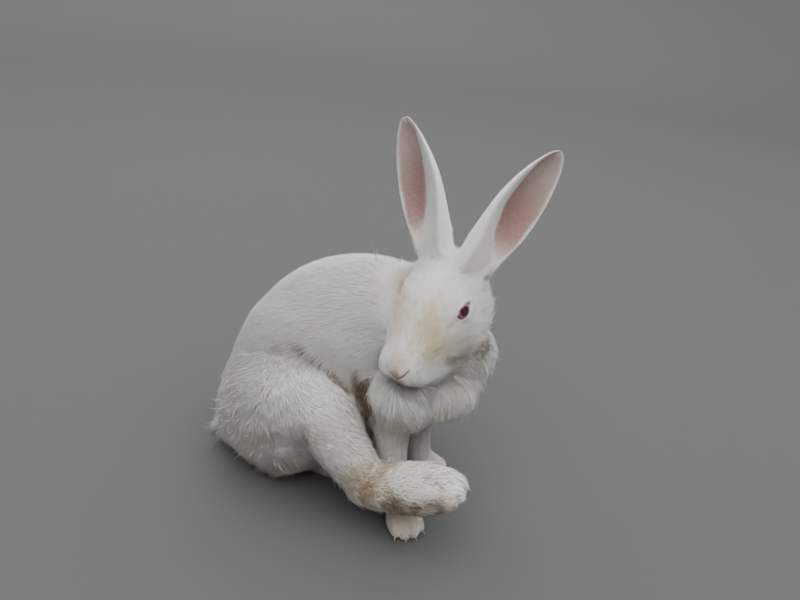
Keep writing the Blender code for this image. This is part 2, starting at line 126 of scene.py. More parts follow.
class Paint:
    # one Principled material and the nodes that feed it
    def __init__(self, name, **fixed):
        self.material = bpy.data.materials.new(name)
        self.material.use_nodes = True
        self.tree = self.material.node_tree
        self.shader = self.tree.nodes["Principled BSDF"]
        for key, value in fixed.items():
            self.shader.inputs[key.replace("_", " ")].default_value = value

    def node(self, kind, settings=None, inputs=None, output=0):
        made = self.tree.nodes.new(kind)
        for key, value in (settings or {}).items():
            setattr(made, key, value)
        for key, value in (inputs or {}).items():
            self.put(made.inputs[key], value)
        return Wire(self, made.outputs[output])

    def put(self, socket, value):
        if isinstance(value, Wire):
            self.tree.links.new(value.socket, socket)
        elif isinstance(value, tuple) and len(value) == 3 and socket.type == "RGBA":
            socket.default_value = (*value, 1)
        else:
            socket.default_value = value

    def attribute(self, name):
        return self.node("ShaderNodeAttribute", {"attribute_name": name}, output="Fac")

    def noise(self, size, detail=3.0, rough=0.5):
        # patches about this many metres across, from 0 to 1
        place = self.node("ShaderNodeTexCoord", output="Object")
        inputs = {"Vector": place, "Scale": 0.5 / size, "Detail": detail, "Roughness": rough}
        return self.node("ShaderNodeTexNoise", None, inputs)

    def mix(self, amount, first, second):
        inputs = {"Factor": amount, 6: first, 7: second}
        return self.node("ShaderNodeMix", {"data_type": "RGBA"}, inputs, 2)

    def steps(self, value, low, high):
        # 0 below low and 1 above high, smooth between them
        inputs = {"Value": value, "From Min": low, "From Max": high}
        return self.node("ShaderNodeMapRange", {"interpolation_type": "SMOOTHSTEP"}, inputs)

    def bump(self, height, strength, distance):
        inputs = {"Height": height, "Strength": strength, "Distance": distance}
        self.put(self.shader.inputs["Normal"], self.node("ShaderNodeBump", None, inputs))

    def tint(self, colour, key, to):
        # this colour, and another where the attribute is 1
        return self.mix(self.attribute(key), colour, colours[to])

    def colour(self, value):
        self.put(self.shader.inputs["Base Color"], value)


# meshes as arrays


def sideless(name):
    return name.split("_")[0]


def toMesh(bm, name):
    mesh = bpy.data.meshes.new(name)
    bm.to_mesh(mesh)
    bm.free()
    return mesh


def withModifiers(mesh, *changes):
    # the mesh after these modifiers, each given as (type, settings)
    held = newObject("held", mesh)
    for kind, settings in changes:
        modifier = held.modifiers.new(kind, kind)
        for key, value in settings.items():
            setattr(modifier, key, value)
    graph = bpy.context.evaluated_depsgraph_get()
    result = bpy.data.meshes.new_from_object(held.evaluated_get(graph))
    others = [settings["object"] for kind, settings in changes if "object" in settings]
    for old in [held, *others]:
        bpy.data.objects.remove(old)
    return result


def gathered(names, grow):
    # the named nodes in one bmesh, each with its loose triangles welded and its skin moved out a little
    whole = bmesh.new()
    for name in names:
        bm = bmesh.new()
        bm.from_mesh(nodes[name].data)
        bmesh.ops.remove_doubles(bm, verts=bm.verts, dist=0.01 * mm)
        bm.normal_update()
        for vert in bm.verts:
            vert.co += vert.normal * grow
        whole.from_mesh(toMesh(bm, name))
    return whole


def readOff(items, what, wide, kind=np.float32):
    # one property of all these items, a row of this many numbers for each
    found = np.empty(len(items) * wide, kind)
    items.foreach_get(what, found)
    return found.reshape(-1, wide)


def points(mesh):
    return readOff(mesh.vertices, "co", 3).astype(float)


def setPoints(mesh, places):
    mesh.vertices.foreach_set("co", places.astype(np.float32).ravel())
    mesh.update()


def normals(mesh):
    return readOff(mesh.vertex_normals, "vector", 3).astype(float)


def edges(mesh):
    return readOff(mesh.edges, "vertices", 2, np.int32)


def spread(values, links, times, mask=1):
    # evens out values between neighbours that an edge joins; the mask says how much, from 0 to 1
    count = len(values)
    many = np.bincount(links.ravel(), minlength=count).clip(1)
    flat = values.reshape(count, -1).copy()
    for _ in range(times):
        total = np.empty_like(flat)
        for column in range(flat.shape[1]):
            ahead = np.bincount(links[:, 0], flat[links[:, 1], column], count)
            behind = np.bincount(links[:, 1], flat[links[:, 0], column], count)
            total[:, column] = (ahead + behind) / many
        flat += (total - flat) * (0.5 * mask)
    return flat.reshape(values.shape)


def unit(vectors):
    return vectors / np.maximum(np.linalg.norm(vectors, axis=-1, keepdims=True), 1e-9)


def lengthsOf(vectors):
    return np.linalg.norm(vectors, axis=1)


def squareTo(vector, axis):
    # what of this vector is square to the axis, as a unit vector
    return unit(vector - axis * np.dot(vector, axis))


def gaps(tree, places):
    # how far each place is from the nearest face
    return np.array([tree.find_nearest(place)[3] for place in places])


def smoothStep(values, low, high):
    t = ((values - low) / (high - low)).clip(0, 1)
    return t * t * (3 - 2 * t)


def treeOf(mesh):
    bm = bmesh.new()
    bm.from_mesh(mesh)
    found = BVHTree.FromBMesh(bm)
    bm.free()
    return found


# the face's own axes, from the eyes and the nose

eyeCentres = {}
for side in ("left", "right"):
    low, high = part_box("eye_" + side)
    eyeCentres[side] = np.array((low + high) / 2)
    eyeRadius = (high.z - low.z) / 2
headPoints = points(nodes["head"].data)
eyesMiddle = (eyeCentres["left"] + eyeCentres["right"]) / 2
faceLeft = unit(eyeCentres["left"] - eyeCentres["right"])
noseTip = headPoints[lengthsOf(headPoints - eyesMiddle).argmax()]
noseTip = noseTip - faceLeft * np.dot(noseTip - eyesMiddle, faceLeft)
faceFront = unit(noseTip - eyesMiddle)
faceUp = np.cross(faceFront, faceLeft)
if faceUp[2] < 0:
    faceUp = -faceUp


def onFace(places):
    # places as millimetres to the left, ahead and up from the end of the muzzle
    away = (places - noseTip) / mm
    return away @ faceLeft, away @ faceFront, away @ faceUp


def fromFace(left, ahead, up):
    return noseTip + (faceLeft * left + faceFront * ahead + faceUp * up) * mm


# the skin

# by part: how deep the coat is, how long its tufts are and how wide in mm, how many to a square millimetre,
# how far they lift (0 flat), how far they bunch into locks, how unruly they are, how uneven the surface is,
# and how far its soft clumps swell in mm; the last four rows are stretches of coat that run over the parts
coatKeys = ("depth", "length", "width", "count", "lift", "locks", "ruffle", "uneven", "clump")
coat = {
    "trunk": (5.0, 11.0, 0.62, 1.45, 0.02, 0.10, 0.10, 0.10, 0.4),
    "thigh": (6.0, 12.5, 0.72, 0.95, 0.10, 0.32, 0.26, 0.26, 1.7),
    "shin": (4.5, 10.5, 0.70, 0.90, 0.10, 0.32, 0.24, 0.26, 1.5),
    "foot": (3.5, 8.5, 0.65, 1.05, 0.14, 0.50, 0.34, 0.34, 2.2),
    "foreleg": (3.2, 8.0, 0.62, 0.85, 0.05, 0.22, 0.16, 0.20, 0.6),
    "paw": (2.0, 5.2, 0.45, 1.7, 0.08, 0.25, 0.18, 0.22, 0.0),
    "neck": (6.5, 11.5, 0.56, 2.0, 0.10, 0.26, 0.26, 0.34, 2.2),
    "head": (2.8, 8.0, 0.50, 3.6, 0.09, 0.45, 0.28, 0.46, 2.2),
    "tail": (3.5, 12.0, 0.74, 1.3, 0.40, 0.40, 0.40, 0.50, 2.0),
    "ear": (0.5, 3.8, 0.36, 2.4, 0.02, 0.08, 0.12, 0.20, 0.0),
    "earRoot": (1.4, 8.0, 0.46, 3.4, 0.12, 0.30, 0.24, 0.35, 0.6),
    "rump": (6.0, 13.0, 0.74, 1.0, 0.24, 0.52, 0.34, 0.42, 4.5),
    "ruff": (6.0, 12.0, 0.48, 2.8, 0.30, 0.22, 0.30, 0.30, 3.0),
    "cheek": (4.2, 10.5, 0.50, 3.4, 0.17, 0.40, 0.30, 0.40, 2.4),
}
skin = {
    "close": 0.7,  # how far each node grows so that the cuts between them close
    "voxel": 2.1,
    "passes": 9,
    "earLevels": 2,
    "earRoot": (7.0, 6.0),  # how far an ear's root runs on down and in towards the head's middle
    "earMound": (15.0, 9.0, 12.0),
    # the full cheek under the jaw: places to the left, ahead and up of the muzzle's end, and their radius
    "jowl": ((12, -20, -17), (17, -30, -25), (23, -42, -32), (26, -56, -36)),
    "jowlRadius": 14.5,
    # the full breast under the muzzle, and what closes the gap between head, back and ear: places and radii
    "filled": (
        ("face", (-9, 5, -39), 20),
        ("face", (4, 0, -41), 20),
        ("face", (17, -6, -46), 19),
        ("face", (28, -15, -54), 17),
        ("face", (-8, 17, -52), 16),
        ("face", (2, 14, -56), 15),
        ("head", (0.615, 0.84, 0.505), 12),
        ("head", (0.655, 0.80, 0.577), 12),
        ("head", (0.67, 0.80, 0.67), 12),
    ),
    "join": 5.0,  # how wide the joint between ear and head is smoothed
}
eyeShape = {
    "long": 7.3,  # half the opening between the lids, corner to corner
    "high": 4.8,
    "slant": -18,  # how far the front corner hangs below the back one
    "look": (0.86, 0.12, 0.48),  # left, ahead and up
    "gaze": (0.82, 0.05, 0.60),
    "lid": 1.4,  # how far the lids stand out over the eyeball
    "sunk": 1.6,  # how far the skin lies inside the eyeball between them
    "reach": 15.0,  # how far round the eye the skin is made fine
    "room": 0.5,  # how far the ball of flesh behind the lids stands out over the eyeball
    # on the lids' ring, which is 1 at their rim: where they rise, where they fade into the face, where
    # they are bare, where the fur round them is short, and where their tint ends
    "rise": (0.90, 1.08),
    "fade": (1.18, 1.9),
    "bare": (1.0, 1.16),
    "short": (1.2, 2.4),
    "tint": (1.05, 1.4),
}
nose = {
    "middle": (0, -8, 9),  # left, ahead and up from the end of the muzzle
    "reach": 19.0,
    "foot": (0.0, 6.0),  # where the two slits meet
    "slit": (8.6, 12.6),
    "depth": 1.6,
    "width": 0.85,
    "lip": (0.0, 0.0),
    "corner": (11.0, -3.0),
    "pad": (0.0, 12.0),
    "padHill": (0.9, 4.5, 4.5),  # how high, and how wide and tall
    "whisker": (8.5, 4.5),
    "whiskerHill": (1.3, 4.5, 5.0),
    "muzzle": (6, 32),  # how far round the nose the fur is short, fine and close, and by what shares
    "finer": (("length", 0.60), ("depth", 0.40), ("width", 0.30)),
    "closer": 0.4,
    "thin": (0.55, 0.45),  # how thin the coat is at the muzzle's end and what it gains behind it
    "thinTo": (4, 26),
}
# how many times each thing is evened out over the skin's edges
passes = {
    "bodyDepth": 14,
    "bodyNormals": 4,
    "body": 3,
    "joint": 30,
    "lie": 4,
    "lieRounds": 14,
    "normals": 3,
    "shading": 45,
    "stretches": 12,
    "depth": 12,
    "coat": 36,
    "hollow": 1,
    "earRoot": 6,
}
fleshNames = [name for name in nodes if not name.startswith(("eye", "claw"))]
earNames = [name for name in fleshNames if name.startswith("ear")]
bodyNames = [name for name in fleshNames if name not in earNames]
earNumbers = [fleshNames.index(name) for name in earNames]
kindOf = np.array([sideless(name) for name in fleshNames])


def middle(name):
    low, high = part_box(name)
    return np.array((low + high) / 2)


def labelTree(names):
    # one search tree over the named nodes, and for each of its faces the number of its node
    whole = bmesh.new()
    owner = []
    for number, name in enumerate(names):
        whole.from_mesh(nodes[name].data)
        owner += [number] * (len(whole.faces) - len(owner))
    found = BVHTree.FromBMesh(whole)
    whole.free()
    return found, np.array(owner)


def partsNear(places, names):
    tree, owner = labelTree(names)
    return np.array([owner[tree.find_nearest(place)[2]] for place in places])


def coatOf(part, key):
    return coat[part][coatKeys.index(key)]


def byPart(labels, names, key, links, times):
    # a coat setting at each point, blended across the borders between parts
    table = np.array([coatOf(sideless(name), key) for name in names], float)
    return spread(table[labels], links, times)


def eyeAxes(side, way="look"):
    sign = 1 if side == "left" else -1
    left, ahead, up = eyeShape[way]
    look = unit(faceLeft * sign * left + faceFront * ahead + faceUp * up)
    slant = math.radians(eyeShape["slant"])
    along = squareTo(faceFront * math.cos(slant) - faceUp * math.sin(slant), look)
    across = np.cross(look, along)
    return look, along, across * (1 if np.dot(across, faceUp) > 0 else -1)


def almond(places, side):
    # 1 on the rim of the lids, less inside, and how far in front of the eyeball's middle
    look, along, across = eyeAxes(side)
    away = (places - eyeCentres[side]) / mm
    u = away @ along / eyeShape["long"]
    w = away @ across / eyeShape["high"]
    return np.sqrt(u**2 + (w / (1.0 - 0.40 * np.minimum(u**2, 1.3))) ** 2), away @ look


def nearEye(places, side, reach):
    # the lids' ring at each place, and which places are in front of the eye's middle and this near it
    ring, ahead = almond(places, side)
    return ring, (ahead > 0) & (lengthsOf(places - eyeCentres[side]) < reach)


def refine(mesh, centre, reach, cuts):
    bm = bmesh.new()
    bm.from_mesh(mesh)
    near = [edge for edge in bm.edges if ((edge.verts[0].co + edge.verts[1].co) / 2 - centre).length < reach]
    bmesh.ops.subdivide_edges(bm, edges=near, cuts=cuts, use_grid_fill=True, smooth=0.3)
    return toMesh(bm, mesh.name)


def shapeLids(mesh):
    places = points(mesh)
    for side in eyeCentres:
        ring, near = nearEye(places, side, eyeRadius + 7 * mm)
        near &= ring < 2.2
        away = places - eyeCentres[side]
        sunk, lid = eyeShape["sunk"], eyeShape["lid"]
        lid = eyeRadius + mm * (-sunk + (sunk + lid) * smoothStep(ring, *eyeShape["rise"]))
        natural = np.maximum(lengthsOf(away), eyeRadius + 0.4 * mm)
        wanted = lid + (natural - lid) * smoothStep(ring, *eyeShape["fade"])
        places[near] = (eyeCentres[side] + unit(away) * wanted[:, None])[near]
    setPoints(mesh, places)


def toLine(x, z, start, end):
    # distance of (x, z) from a straight stroke
    sx, sz = start
    dx, dz = end[0] - sx, end[1] - sz
    t = (((x - sx) * dx + (z - sz) * dz) / (dx * dx + dz * dz)).clip(0, 1)
    return np.hypot(x - sx - t * dx, z - sz - t * dz)


def noseLines(places):
    # how deep the slits of nose and mouth are at each place, from 0 to 1
    x, y, z = onFace(places)
    x = np.abs(x)
    wing = toLine(x, z, nose["foot"], nose["slit"]) / nose["width"]
    split = toLine(x, z, nose["foot"], nose["lip"]) / (nose["width"] * 0.8)
    mouth = toLine(x, z, nose["lip"], nose["corner"]) / nose["width"]
    slits = np.exp(-(wing**2)) + 0.6 * np.exp(-(split**2)) + 0.8 * np.exp(-(mouth**2))
    return slits.clip(0, 1) * (y > -24)


def hill(x, z, middle, wide, high):
    return np.exp(-(((x - middle[0]) / wide) ** 2) - ((z - middle[1]) / high) ** 2)


def shapeNose(mesh):
    places = points(mesh)
    outward = normals(mesh)
    x, y, z = onFace(places)
    near = (np.hypot(x, z - nose["middle"][2]) < nose["reach"] + 2) & (y > -26)
    high, *size = nose["padHill"]
    pad = high * hill(x, z, nose["pad"], *size)
    high, *size = nose["whiskerHill"]
    whiskers = high * hill(np.abs(x), z, nose["whisker"], *size)
    move = (pad + whiskers - nose["depth"] * noseLines(places)) * mm
    places[near] += (outward * move[:, None])[near]
    setPoints(mesh, places)


# by ear: which way it grows and its hollow faces, and how far the bare skin reaches across it towards the
# other ear, at each station along it, in halves of its width
earStations = (0.06, 0.20, 0.30, 0.50, 0.68, 0.85)
ears = {
    "ear_right": {
        "along": (0.20, 0.39, 0.90),
        "hollow": (-0.70, 0.71, 0.16),
        "edge": (-1.0, -0.72, -0.42, -0.12, 0.10, 0.30),
    },
    "ear_left": {
        "along": (0.27, -0.49, 0.83),
        "hollow": (-0.58, -0.77, 0.20),
        "edge": (-1.0, -0.52, -0.18, 0.22, 0.40, 0.55),
    },
}


# the furred inner edge of an ear, in mm, halves of its width and shares of its length
earEdge = {
    "over": 2.6,  # how far over the back it starts
    "end": 0.92,  # where across it meets the rim, and how round it is
    "round": 2.2,
    "fade": (0.75, 0.95),  # where along the ear it ends
    "tuckFrom": 0.82,  # from where and by how much its end is tucked in, and where along the ear that ends
    "tuck": 0.8,
    "tuckFade": (0.35, 0.6),
    "heart": 4.0,  # what faces this far in front of the ear's middle is inside it
    "hub": 16.0,  # the root is run on towards a place this far inside the head
    "touching": 1.2,  # and takes along what is this near the head, or this near the ear's lowest point
    "lowest": 1.5,
}


def measureEar(name):
    # its axes along, across towards the other ear and out of the hollow, and its edges at stations along it
    along = unit(np.array(ears[name]["along"]))
    front = squareTo(np.array(ears[name]["hollow"]), along)
    across = np.cross(along, front)
    across *= np.sign(np.dot(across, faceLeft)) * (1 if name == "ear_right" else -1)
    places = points(nodes[name].data)
    high, wide, deep = places @ along, places @ across, places @ front
    share = (high - high.min()) / np.ptp(high)
    rows = np.linspace(0.14, 1, 14)
    found = []
    for row in rows:
        here = np.abs(share - row) < 0.05
        found.append((wide[here].min(), wide[here].max(), deep[here].min(), deep[here].max()))
    return {
        "axes": (along, across, front),
        "ends": (high.min(), high.max()),
        "rows": rows,
        "edges": np.array(found).T,
        "root": places[share < 0.08].mean(axis=0),
    }


def inEar(name, places):
    # share along the ear, across it from -1 to 1, height out of the hollow, and heights of its back and rim
    along, across, front = ears[name]["axes"]
    low, high = ears[name]["ends"]
    share = ((places @ along - low) / (high - low)).clip(0, 1)
    one, other, back, rim = (np.interp(share, ears[name]["rows"], edge) for edge in ears[name]["edges"])
    return share, (places @ across * 2 - one - other) / (other - one), places @ front, back, rim


# clefts between the toes: how deep, wide and long, how far the toes' ends swell and how far round their claws
toes = {"deep": 2.4, "wide": 1.6, "reach": 19.0, "round": 0.9, "end": 5.0, "fine": 15.0}


def clawPlaces(name):
    return np.array([middle(f"claw_{name}_{number}") for number in (1, 2, 3, 4)])


def shapeToes(mesh):
    # a cleft between each claw and the next, and a round end to each toe
    places, outward = points(mesh), normals(mesh)
    labels = partsNear(places, bodyNames)
    for number, name in enumerate(bodyNames):
        if sideless(name) not in ("foot", "paw"):
            continue
        here = np.flatnonzero(labels == number)
        claws = clawPlaces(name)
        ahead = unit(claws.mean(axis=0) - middle(name))
        across = squareTo(claws[3] - claws[0], ahead)
        claws = claws[np.argsort(claws @ across)]
        move = np.zeros(len(here))
        for place in claws:
            away = lengthsOf(places[here] - place) / mm
            move += toes["round"] * np.exp(-((away / toes["end"]) ** 2))
        for gap in (claws[1:] + claws[:-1]) / 2:
            away = (places[here] - gap) / mm
            along = 1 - smoothStep(-(away @ ahead), 0.2 * toes["reach"], toes["reach"])
            move -= toes["deep"] * np.exp(-((away @ across / toes["wide"]) ** 2)) * along
        places[here] += outward[here] * move[:, None] * mm
    setPoints(mesh, places)


def addBall(bm, place, radius, turn=Matrix()):
    place = Matrix.Translation(place)
    bmesh.ops.create_uvsphere(bm, u_segments=24, v_segments=12, radius=radius, matrix=place @ turn)


def makeBody():
    bm = gathered(bodyNames, skin["close"] * mm)
    for centre in eyeCentres.values():
        addBall(bm, centre, eyeRadius + eyeShape["room"] * mm)
    for left, ahead, up in skin["jowl"]:
        for sign in (-1, 1):
            addBall(bm, fromFace(sign * left, ahead, up), skin["jowlRadius"] * mm)
    for name, spot, radius in skin["filled"]:
        addBall(bm, inPlace(name, spot), radius * mm)
    for name in earNames:
        # the mound that an ear grows from
        along, across, front = ears[name]["axes"]
        wide, deep, high = skin["earMound"]
        turn = Matrix((across * wide * mm, front * deep * mm, along * high * mm)).transposed().to_4x4()
        addBall(bm, ears[name]["root"] - along * 3 * mm, 1, turn)
    mesh = withModifiers(
        toMesh(bm, "body"),
        ("REMESH", {"mode": "VOXEL", "voxel_size": skin["voxel"] * mm}),
        ("SMOOTH", {"factor": 0.5, "iterations": skin["passes"]}),
    )
    links = edges(mesh)
    places = points(mesh)
    labels = partsNear(places, bodyNames)
    depth = byPart(labels, bodyNames, "depth", links, passes["bodyDepth"]) + skin["close"]
    ahead = onFace(places)[1]
    least, more = nose["thin"]
    depth *= least + more * smoothStep(-ahead, *nose["thinTo"])
    outward = unit(spread(normals(mesh), links, passes["bodyNormals"]))
    places = spread(places - outward * depth[:, None] * mm, links, passes["body"])
    setPoints(mesh, places)
    for centre in eyeCentres.values():
        mesh = refine(mesh, Vector(centre), eyeShape["reach"] * mm, 3)
    mesh = refine(mesh, Vector(fromFace(*nose["middle"])), nose["reach"] * mm, 3)
    for name in bodyNames:
        if sideless(name) in ("foot", "paw"):
            mesh = refine(mesh, Vector(clawPlaces(name).mean(axis=0)), toes["fine"] * mm, 1)
    print("refined body:", len(mesh.vertices))
    shapeLids(mesh)
    shapeNose(mesh)
    shapeToes(mesh)
    return mesh


def arch(x):
    return 1 - np.sqrt(1 - np.minimum(np.abs(x), 1) ** 2)


def makeEar(name, bodyTree):
    # the ear's own solid with its inner edge thickened and its root run on into the head, thinned and rounded
    bm = gathered([name], 0)
    bm.normal_update()
    places = np.array([vert.co for vert in bm.verts])
    outward = np.array([vert.normal for vert in bm.verts])
    along, across, front = ears[name]["axes"]
    share, x, y, back, rim = inEar(name, places)
    wide = np.interp(share, ears[name]["rows"], ears[name]["edges"][1] - ears[name]["edges"][0]) / 2
    toHeart = across * (-x * wide)[:, None] + front * ((back + rim) / 2 + earEdge["heart"] * mm - y)[:, None]
    inside = np.sum(toHeart * outward, axis=1) > 0
    edge = np.interp(share, earStations, ears[name]["edge"])
    low = back + earEdge["over"] * mm
    start = low + (rim - low) * arch(edge)
    over = ((x - edge) / (earEdge["end"] - edge)).clip(0, 1)
    wanted = start + (rim - start) * (1 - (1 - over) ** earEdge["round"])
    filled = inside * (x > edge) * (1 - smoothStep(share, *earEdge["fade"]))
    tucked = np.maximum(x - earEdge["tuckFrom"], 0) * earEdge["tuck"] * wide * filled
    tucked *= 1 - smoothStep(share, *earEdge["tuckFade"])
    places += front * ((wanted - y).clip(0, None) * filled)[:, None] - across * tucked[:, None]
    root = places[lengthsOf(places - eyesMiddle).argmin()]
    hub = root + unit(eyesMiddle - root) * earEdge["hub"] * mm
    down, inwards = skin["earRoot"]
    lowest = (places @ along).min()
    for vert, place in zip(bm.verts, places):
        touching = bodyTree.find_nearest(vert.co)[3] < earEdge["touching"] * mm
        if touching or place @ along < lowest + earEdge["lowest"] * mm:
            place = place - along * down * mm + unit(hub - place) * inwards * mm
        vert.co = place
    bmesh.ops.join_triangles(bm, faces=bm.faces[:], angle_face_threshold=0.7, angle_shape_threshold=0.9)
    bm.normal_update()
    for vert in bm.verts:
        vert.co -= vert.normal * coatOf("ear", "depth") * mm
    levels = {"levels": skin["earLevels"], "render_levels": skin["earLevels"]}
    return withModifiers(toMesh(bm, name), ("SUBSURF", levels), ("TRIANGULATE", {}))


def makeSkin():
    for name in earNames:
        ears[name] |= measureEar(name)
    mesh = makeBody()
    bodyTree = treeOf(mesh)
    coatTree = labelTree(bodyNames)[0]
    made = [makeEar(name, coatTree) for name in earNames]
    earTrees = [treeOf(ear) for ear in made]
    for ear in made:
        mesh = withModifiers(
            mesh, ("BOOLEAN", {"operation": "UNION", "object": newObject("ear", ear), "solver": "MANIFOLD"})
        )
    places = points(mesh)
    toBody, toEars = gaps(bodyTree, places), [gaps(tree, places) for tree in earTrees]
    apart = np.maximum(toBody, np.min(toEars, axis=0))
    joint = 1 - smoothStep(apart, 0.3 * skin["join"] * mm, skin["join"] * mm)
    for name, toEar in zip(earNames, toEars):
        # the fold along the thick inner edge is evened out
        near = np.flatnonzero(toEar < 0.5 * mm)
        share, x, _, _, _ = inEar(name, places[near])
        fold = smoothStep(x, 0.3, 0.6) * (1 - smoothStep(share, *earEdge["tuckFade"]))
        joint[near] = np.maximum(joint[near], fold)
    setPoints(mesh, spread(places, edges(mesh), passes["joint"], joint[:, None]))
    mesh.shade_smooth()
    return mesh


# the places of the parts, for the lie of the coat and the markings


def inBox(name, shares):
    # a place as shares of a node's box
    low, high = (np.array(corner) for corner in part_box(name))
    return low + (high - low) * np.array(shares)


# stains that skin and coat share, each a stroke on a node as shares of its box, or on the face in mm
# to the left, ahead and up from the end of the muzzle; then how wide it is and how yellow, brown and pink
stains = (
    ("trunk", (0.12, 0.40, 0.57), (0.14, 0.40, 0.43), 17, (0.4, 0.95, 0.0)),
    ("trunk", (0.13, 0.41, 0.55), (0.13, 0.39, 0.61), 5.5, (0.3, 0.8, 0.0)),
    ("trunk", (0.13, 0.39, 0.55), (0.15, 0.35, 0.63), 5, (0.3, 0.75, 0.0)),
    ("trunk", (0.10, 0.42, 0.55), (0.12, 0.42, 0.63), 4, (0.3, 0.6, 0.0)),
    ("trunk", (0.09, 0.44, 0.54), (0.06, 0.51, 0.63), 5, (0.4, 0.75, 0.0)),
    ("trunk", (0.04, 0.50, 0.62), (0.05, 0.64, 0.72), 2.6, (0.2, 0.90, 0.0)),
    ("thigh_right", (0.46, 0.13, 0.81), (0.44, 0.22, 0.90), 3.0, (0.2, 0.85, 0.0)),
    ("trunk", (0.06, 0.61, 0.71), (0.07, 0.66, 0.73), 1.8, (0.1, 0.5, 0.0)),
    ("trunk", (0.06, 0.69, 0.70), (0.06, 0.71, 0.69), 4.5, (0.3, 0.40, 0.0)),
    ("thigh_right", (0.00, 0.33, 0.58), (0.02, 0.31, 0.42), 5, (0.4, 0.55, 0.1)),
    ("thigh_right", (0.02, 0.36, 0.30), (0.10, 0.40, 0.10), 6, (0.4, 0.45, 0.1)),
    ("thigh_right", (0.01, 0.57, 0.40), (0.20, 0.75, 0.20), 24, (0.26, 0.04, 0.0)),
    ("foot_left", (0.06, 0.30, 0.45), (0.06, 0.55, 0.30), 15, (0.3, 0.35, 0.6)),
    ("foot_right", (0.62, 0.68, 0.72), (0.36, 0.76, 0.36), 14, (0.82, 0.52, 0.08)),
    ("foot_right", (0.25, 0.56, 0.50), (0.30, 0.52, 0.20), 11, (0.70, 0.62, 0.0)),
    ("foot_right", (0.25, 0.60, 0.42), (0.12, 0.40, 0.55), 8, (0.60, 0.62, 0.0)),
    ("foot_right", (0.12, 0.39, 0.55), (0.08, 0.20, 0.72), 6, (0.50, 0.66, 0.1)),
    ("foot_right", (0.20, 0.40, 0.30), (0.14, 0.10, 0.50), 12, (0.7, 0.55, 0.2)),
    ("foot_right", (0.06, 0.13, 0.80), (0.10, 0.02, 0.76), 9, (0.65, 0.24, 0.50)),
    ("foot_right", (0.20, 0.24, 0.91), (0.33, 0.33, 0.93), 2.4, (0.3, 0.60, 0.0)),
    ("shin_right", (0.05, 0.24, 0.28), (0.10, 0.12, 0.12), 14, (0.75, 0.40, 0.08)),
    ("shin_right", (0.10, 0.60, 0.60), (0.15, 0.20, 0.20), 28, (0.16, 0.02, 0.0)),
    ("foot_right", (0.20, 0.30, 0.60), (0.50, 0.70, 0.60), 28, (0.22, 0.02, 0.0)),
    ("paw_right", (0.00, 0.50, 0.30), (0.60, 0.60, 0.60), 24, (0.55, 0.20, 0.36)),
    ("paw_left", (0.30, 0.50, 0.30), (0.60, 0.50, 0.60), 18, (0.20, 0.04, 0.25)),
    ("foreleg_right", (0.05, 0.45, 0.10), (0.20, 0.50, 0.70), 24, (0.10, 0.05, 0.26)),
    ("foreleg_left", (0.40, 0.40, 0.10), (0.40, 0.50, 0.70), 24, (0.10, 0.05, 0.20)),
    ("trunk", (0.05, 0.66, 0.14), (0.30, 0.90, 0.10), 22, (0.48, 0.06, 0.0)),
    ("neck", (0.11, 0.38, 0.34), (0.14, 0.33, 0.36), 7, (0.40, 0.30, 0.0)),
    ("neck", (0.12, 0.22, 0.52), (0.24, 0.16, 0.57), 8, (0.45, 0.55, 0.0)),
    ("neck", (0.06, 0.41, 0.02), (0.10, 0.36, 0.30), 20, (0.22, 0.02, 0.10)),
    ("face", (21, -26, -12), (26, -34, -22), 7, (0.40, 0.50, 0.0)),
    ("face", (9, -39, 18), (13, -31, 13), 17, (0.96, 0.20, 0.06)),
    ("face", (18, -36, 2), (25, -38, -11), 12, (0.55, 0.12, 0.0)),
    ("face", (-18, -50, 13), (-29, -64, -2), 14, (0.62, 0.14, 0.05)),
    ("face", (3, -48, 21), (9, -42, 20), 9, (0.35, 0.02, 0.04)),
    ("face", (-14, -45, 15), (-13, -29, 14), 13, (0.55, 0.07, 0.30)),
    ("face", (22, -54, 6), (19, -46, 9), 5, (0.15, 0.26, 0.75)),
    ("face", (0, -12, 15), (0, -6, 9), 8, (0.30, 0.04, 0.60)),
)
# what coat, skin and the rest are coloured with
colours = {
    "cool": (0.93, 0.935, 0.935),
    "warm": (0.93, 0.91, 0.86),
    "shaded": (0.87, 0.86, 0.84),
    # the tufts' roots: a warmer tone, and painted shade deep in the coat
    "root": (0.89, 0.86, 0.83),
    "yellow": (0.73, 0.59, 0.38),
    "brown": (0.23, 0.15, 0.10),
    "pink": (0.82, 0.60, 0.54),
    # the skin under the coat: its own pale pink, a little darker than the fur, which also paints shade
    # between the tufts
    "bare": (0.90, 0.80, 0.76),
    "earHollow": (0.52, 0.37, 0.34),
    # painted shade in the hollow of the ear, low down its length
    "earDeepShade": (0.46, 0.27, 0.24),
    "earRim": (0.70, 0.58, 0.54),
    "vein": (0.42, 0.27, 0.27),
    "lid": (0.45, 0.27, 0.29),
    "nose": (0.62, 0.45, 0.38),
    # painted shade in the slits of the nose and the line of the mouth
    "slit": (0.20, 0.10, 0.08),
    "iris": ((0.24, 0.085, 0.135), (0.42, 0.20, 0.26)),
    "irisRim": (0.20, 0.06, 0.095),
    "eyeball": (0.36, 0.20, 0.23),
    "pupil": (0.06, 0.008, 0.018),
    "horn": ((0.34, 0.27, 0.23), (0.55, 0.47, 0.41)),
    "whisker": ((0.82, 0.78, 0.72), (0.93, 0.93, 0.92)),
}


def mottle(places, size, seed):
    # smooth patches about this many mm across, from 0 to 1
    draw = np.random.default_rng(seed)
    total = 0
    for _ in range(7):
        way = unit(draw.normal(size=3)) * math.pi / (size * mm) * draw.uniform(0.6, 1.5)
        total = total + np.sin(places @ way + draw.uniform(0, 6.3))
    return 0.5 + 0.5 * np.tanh(total * 0.5)


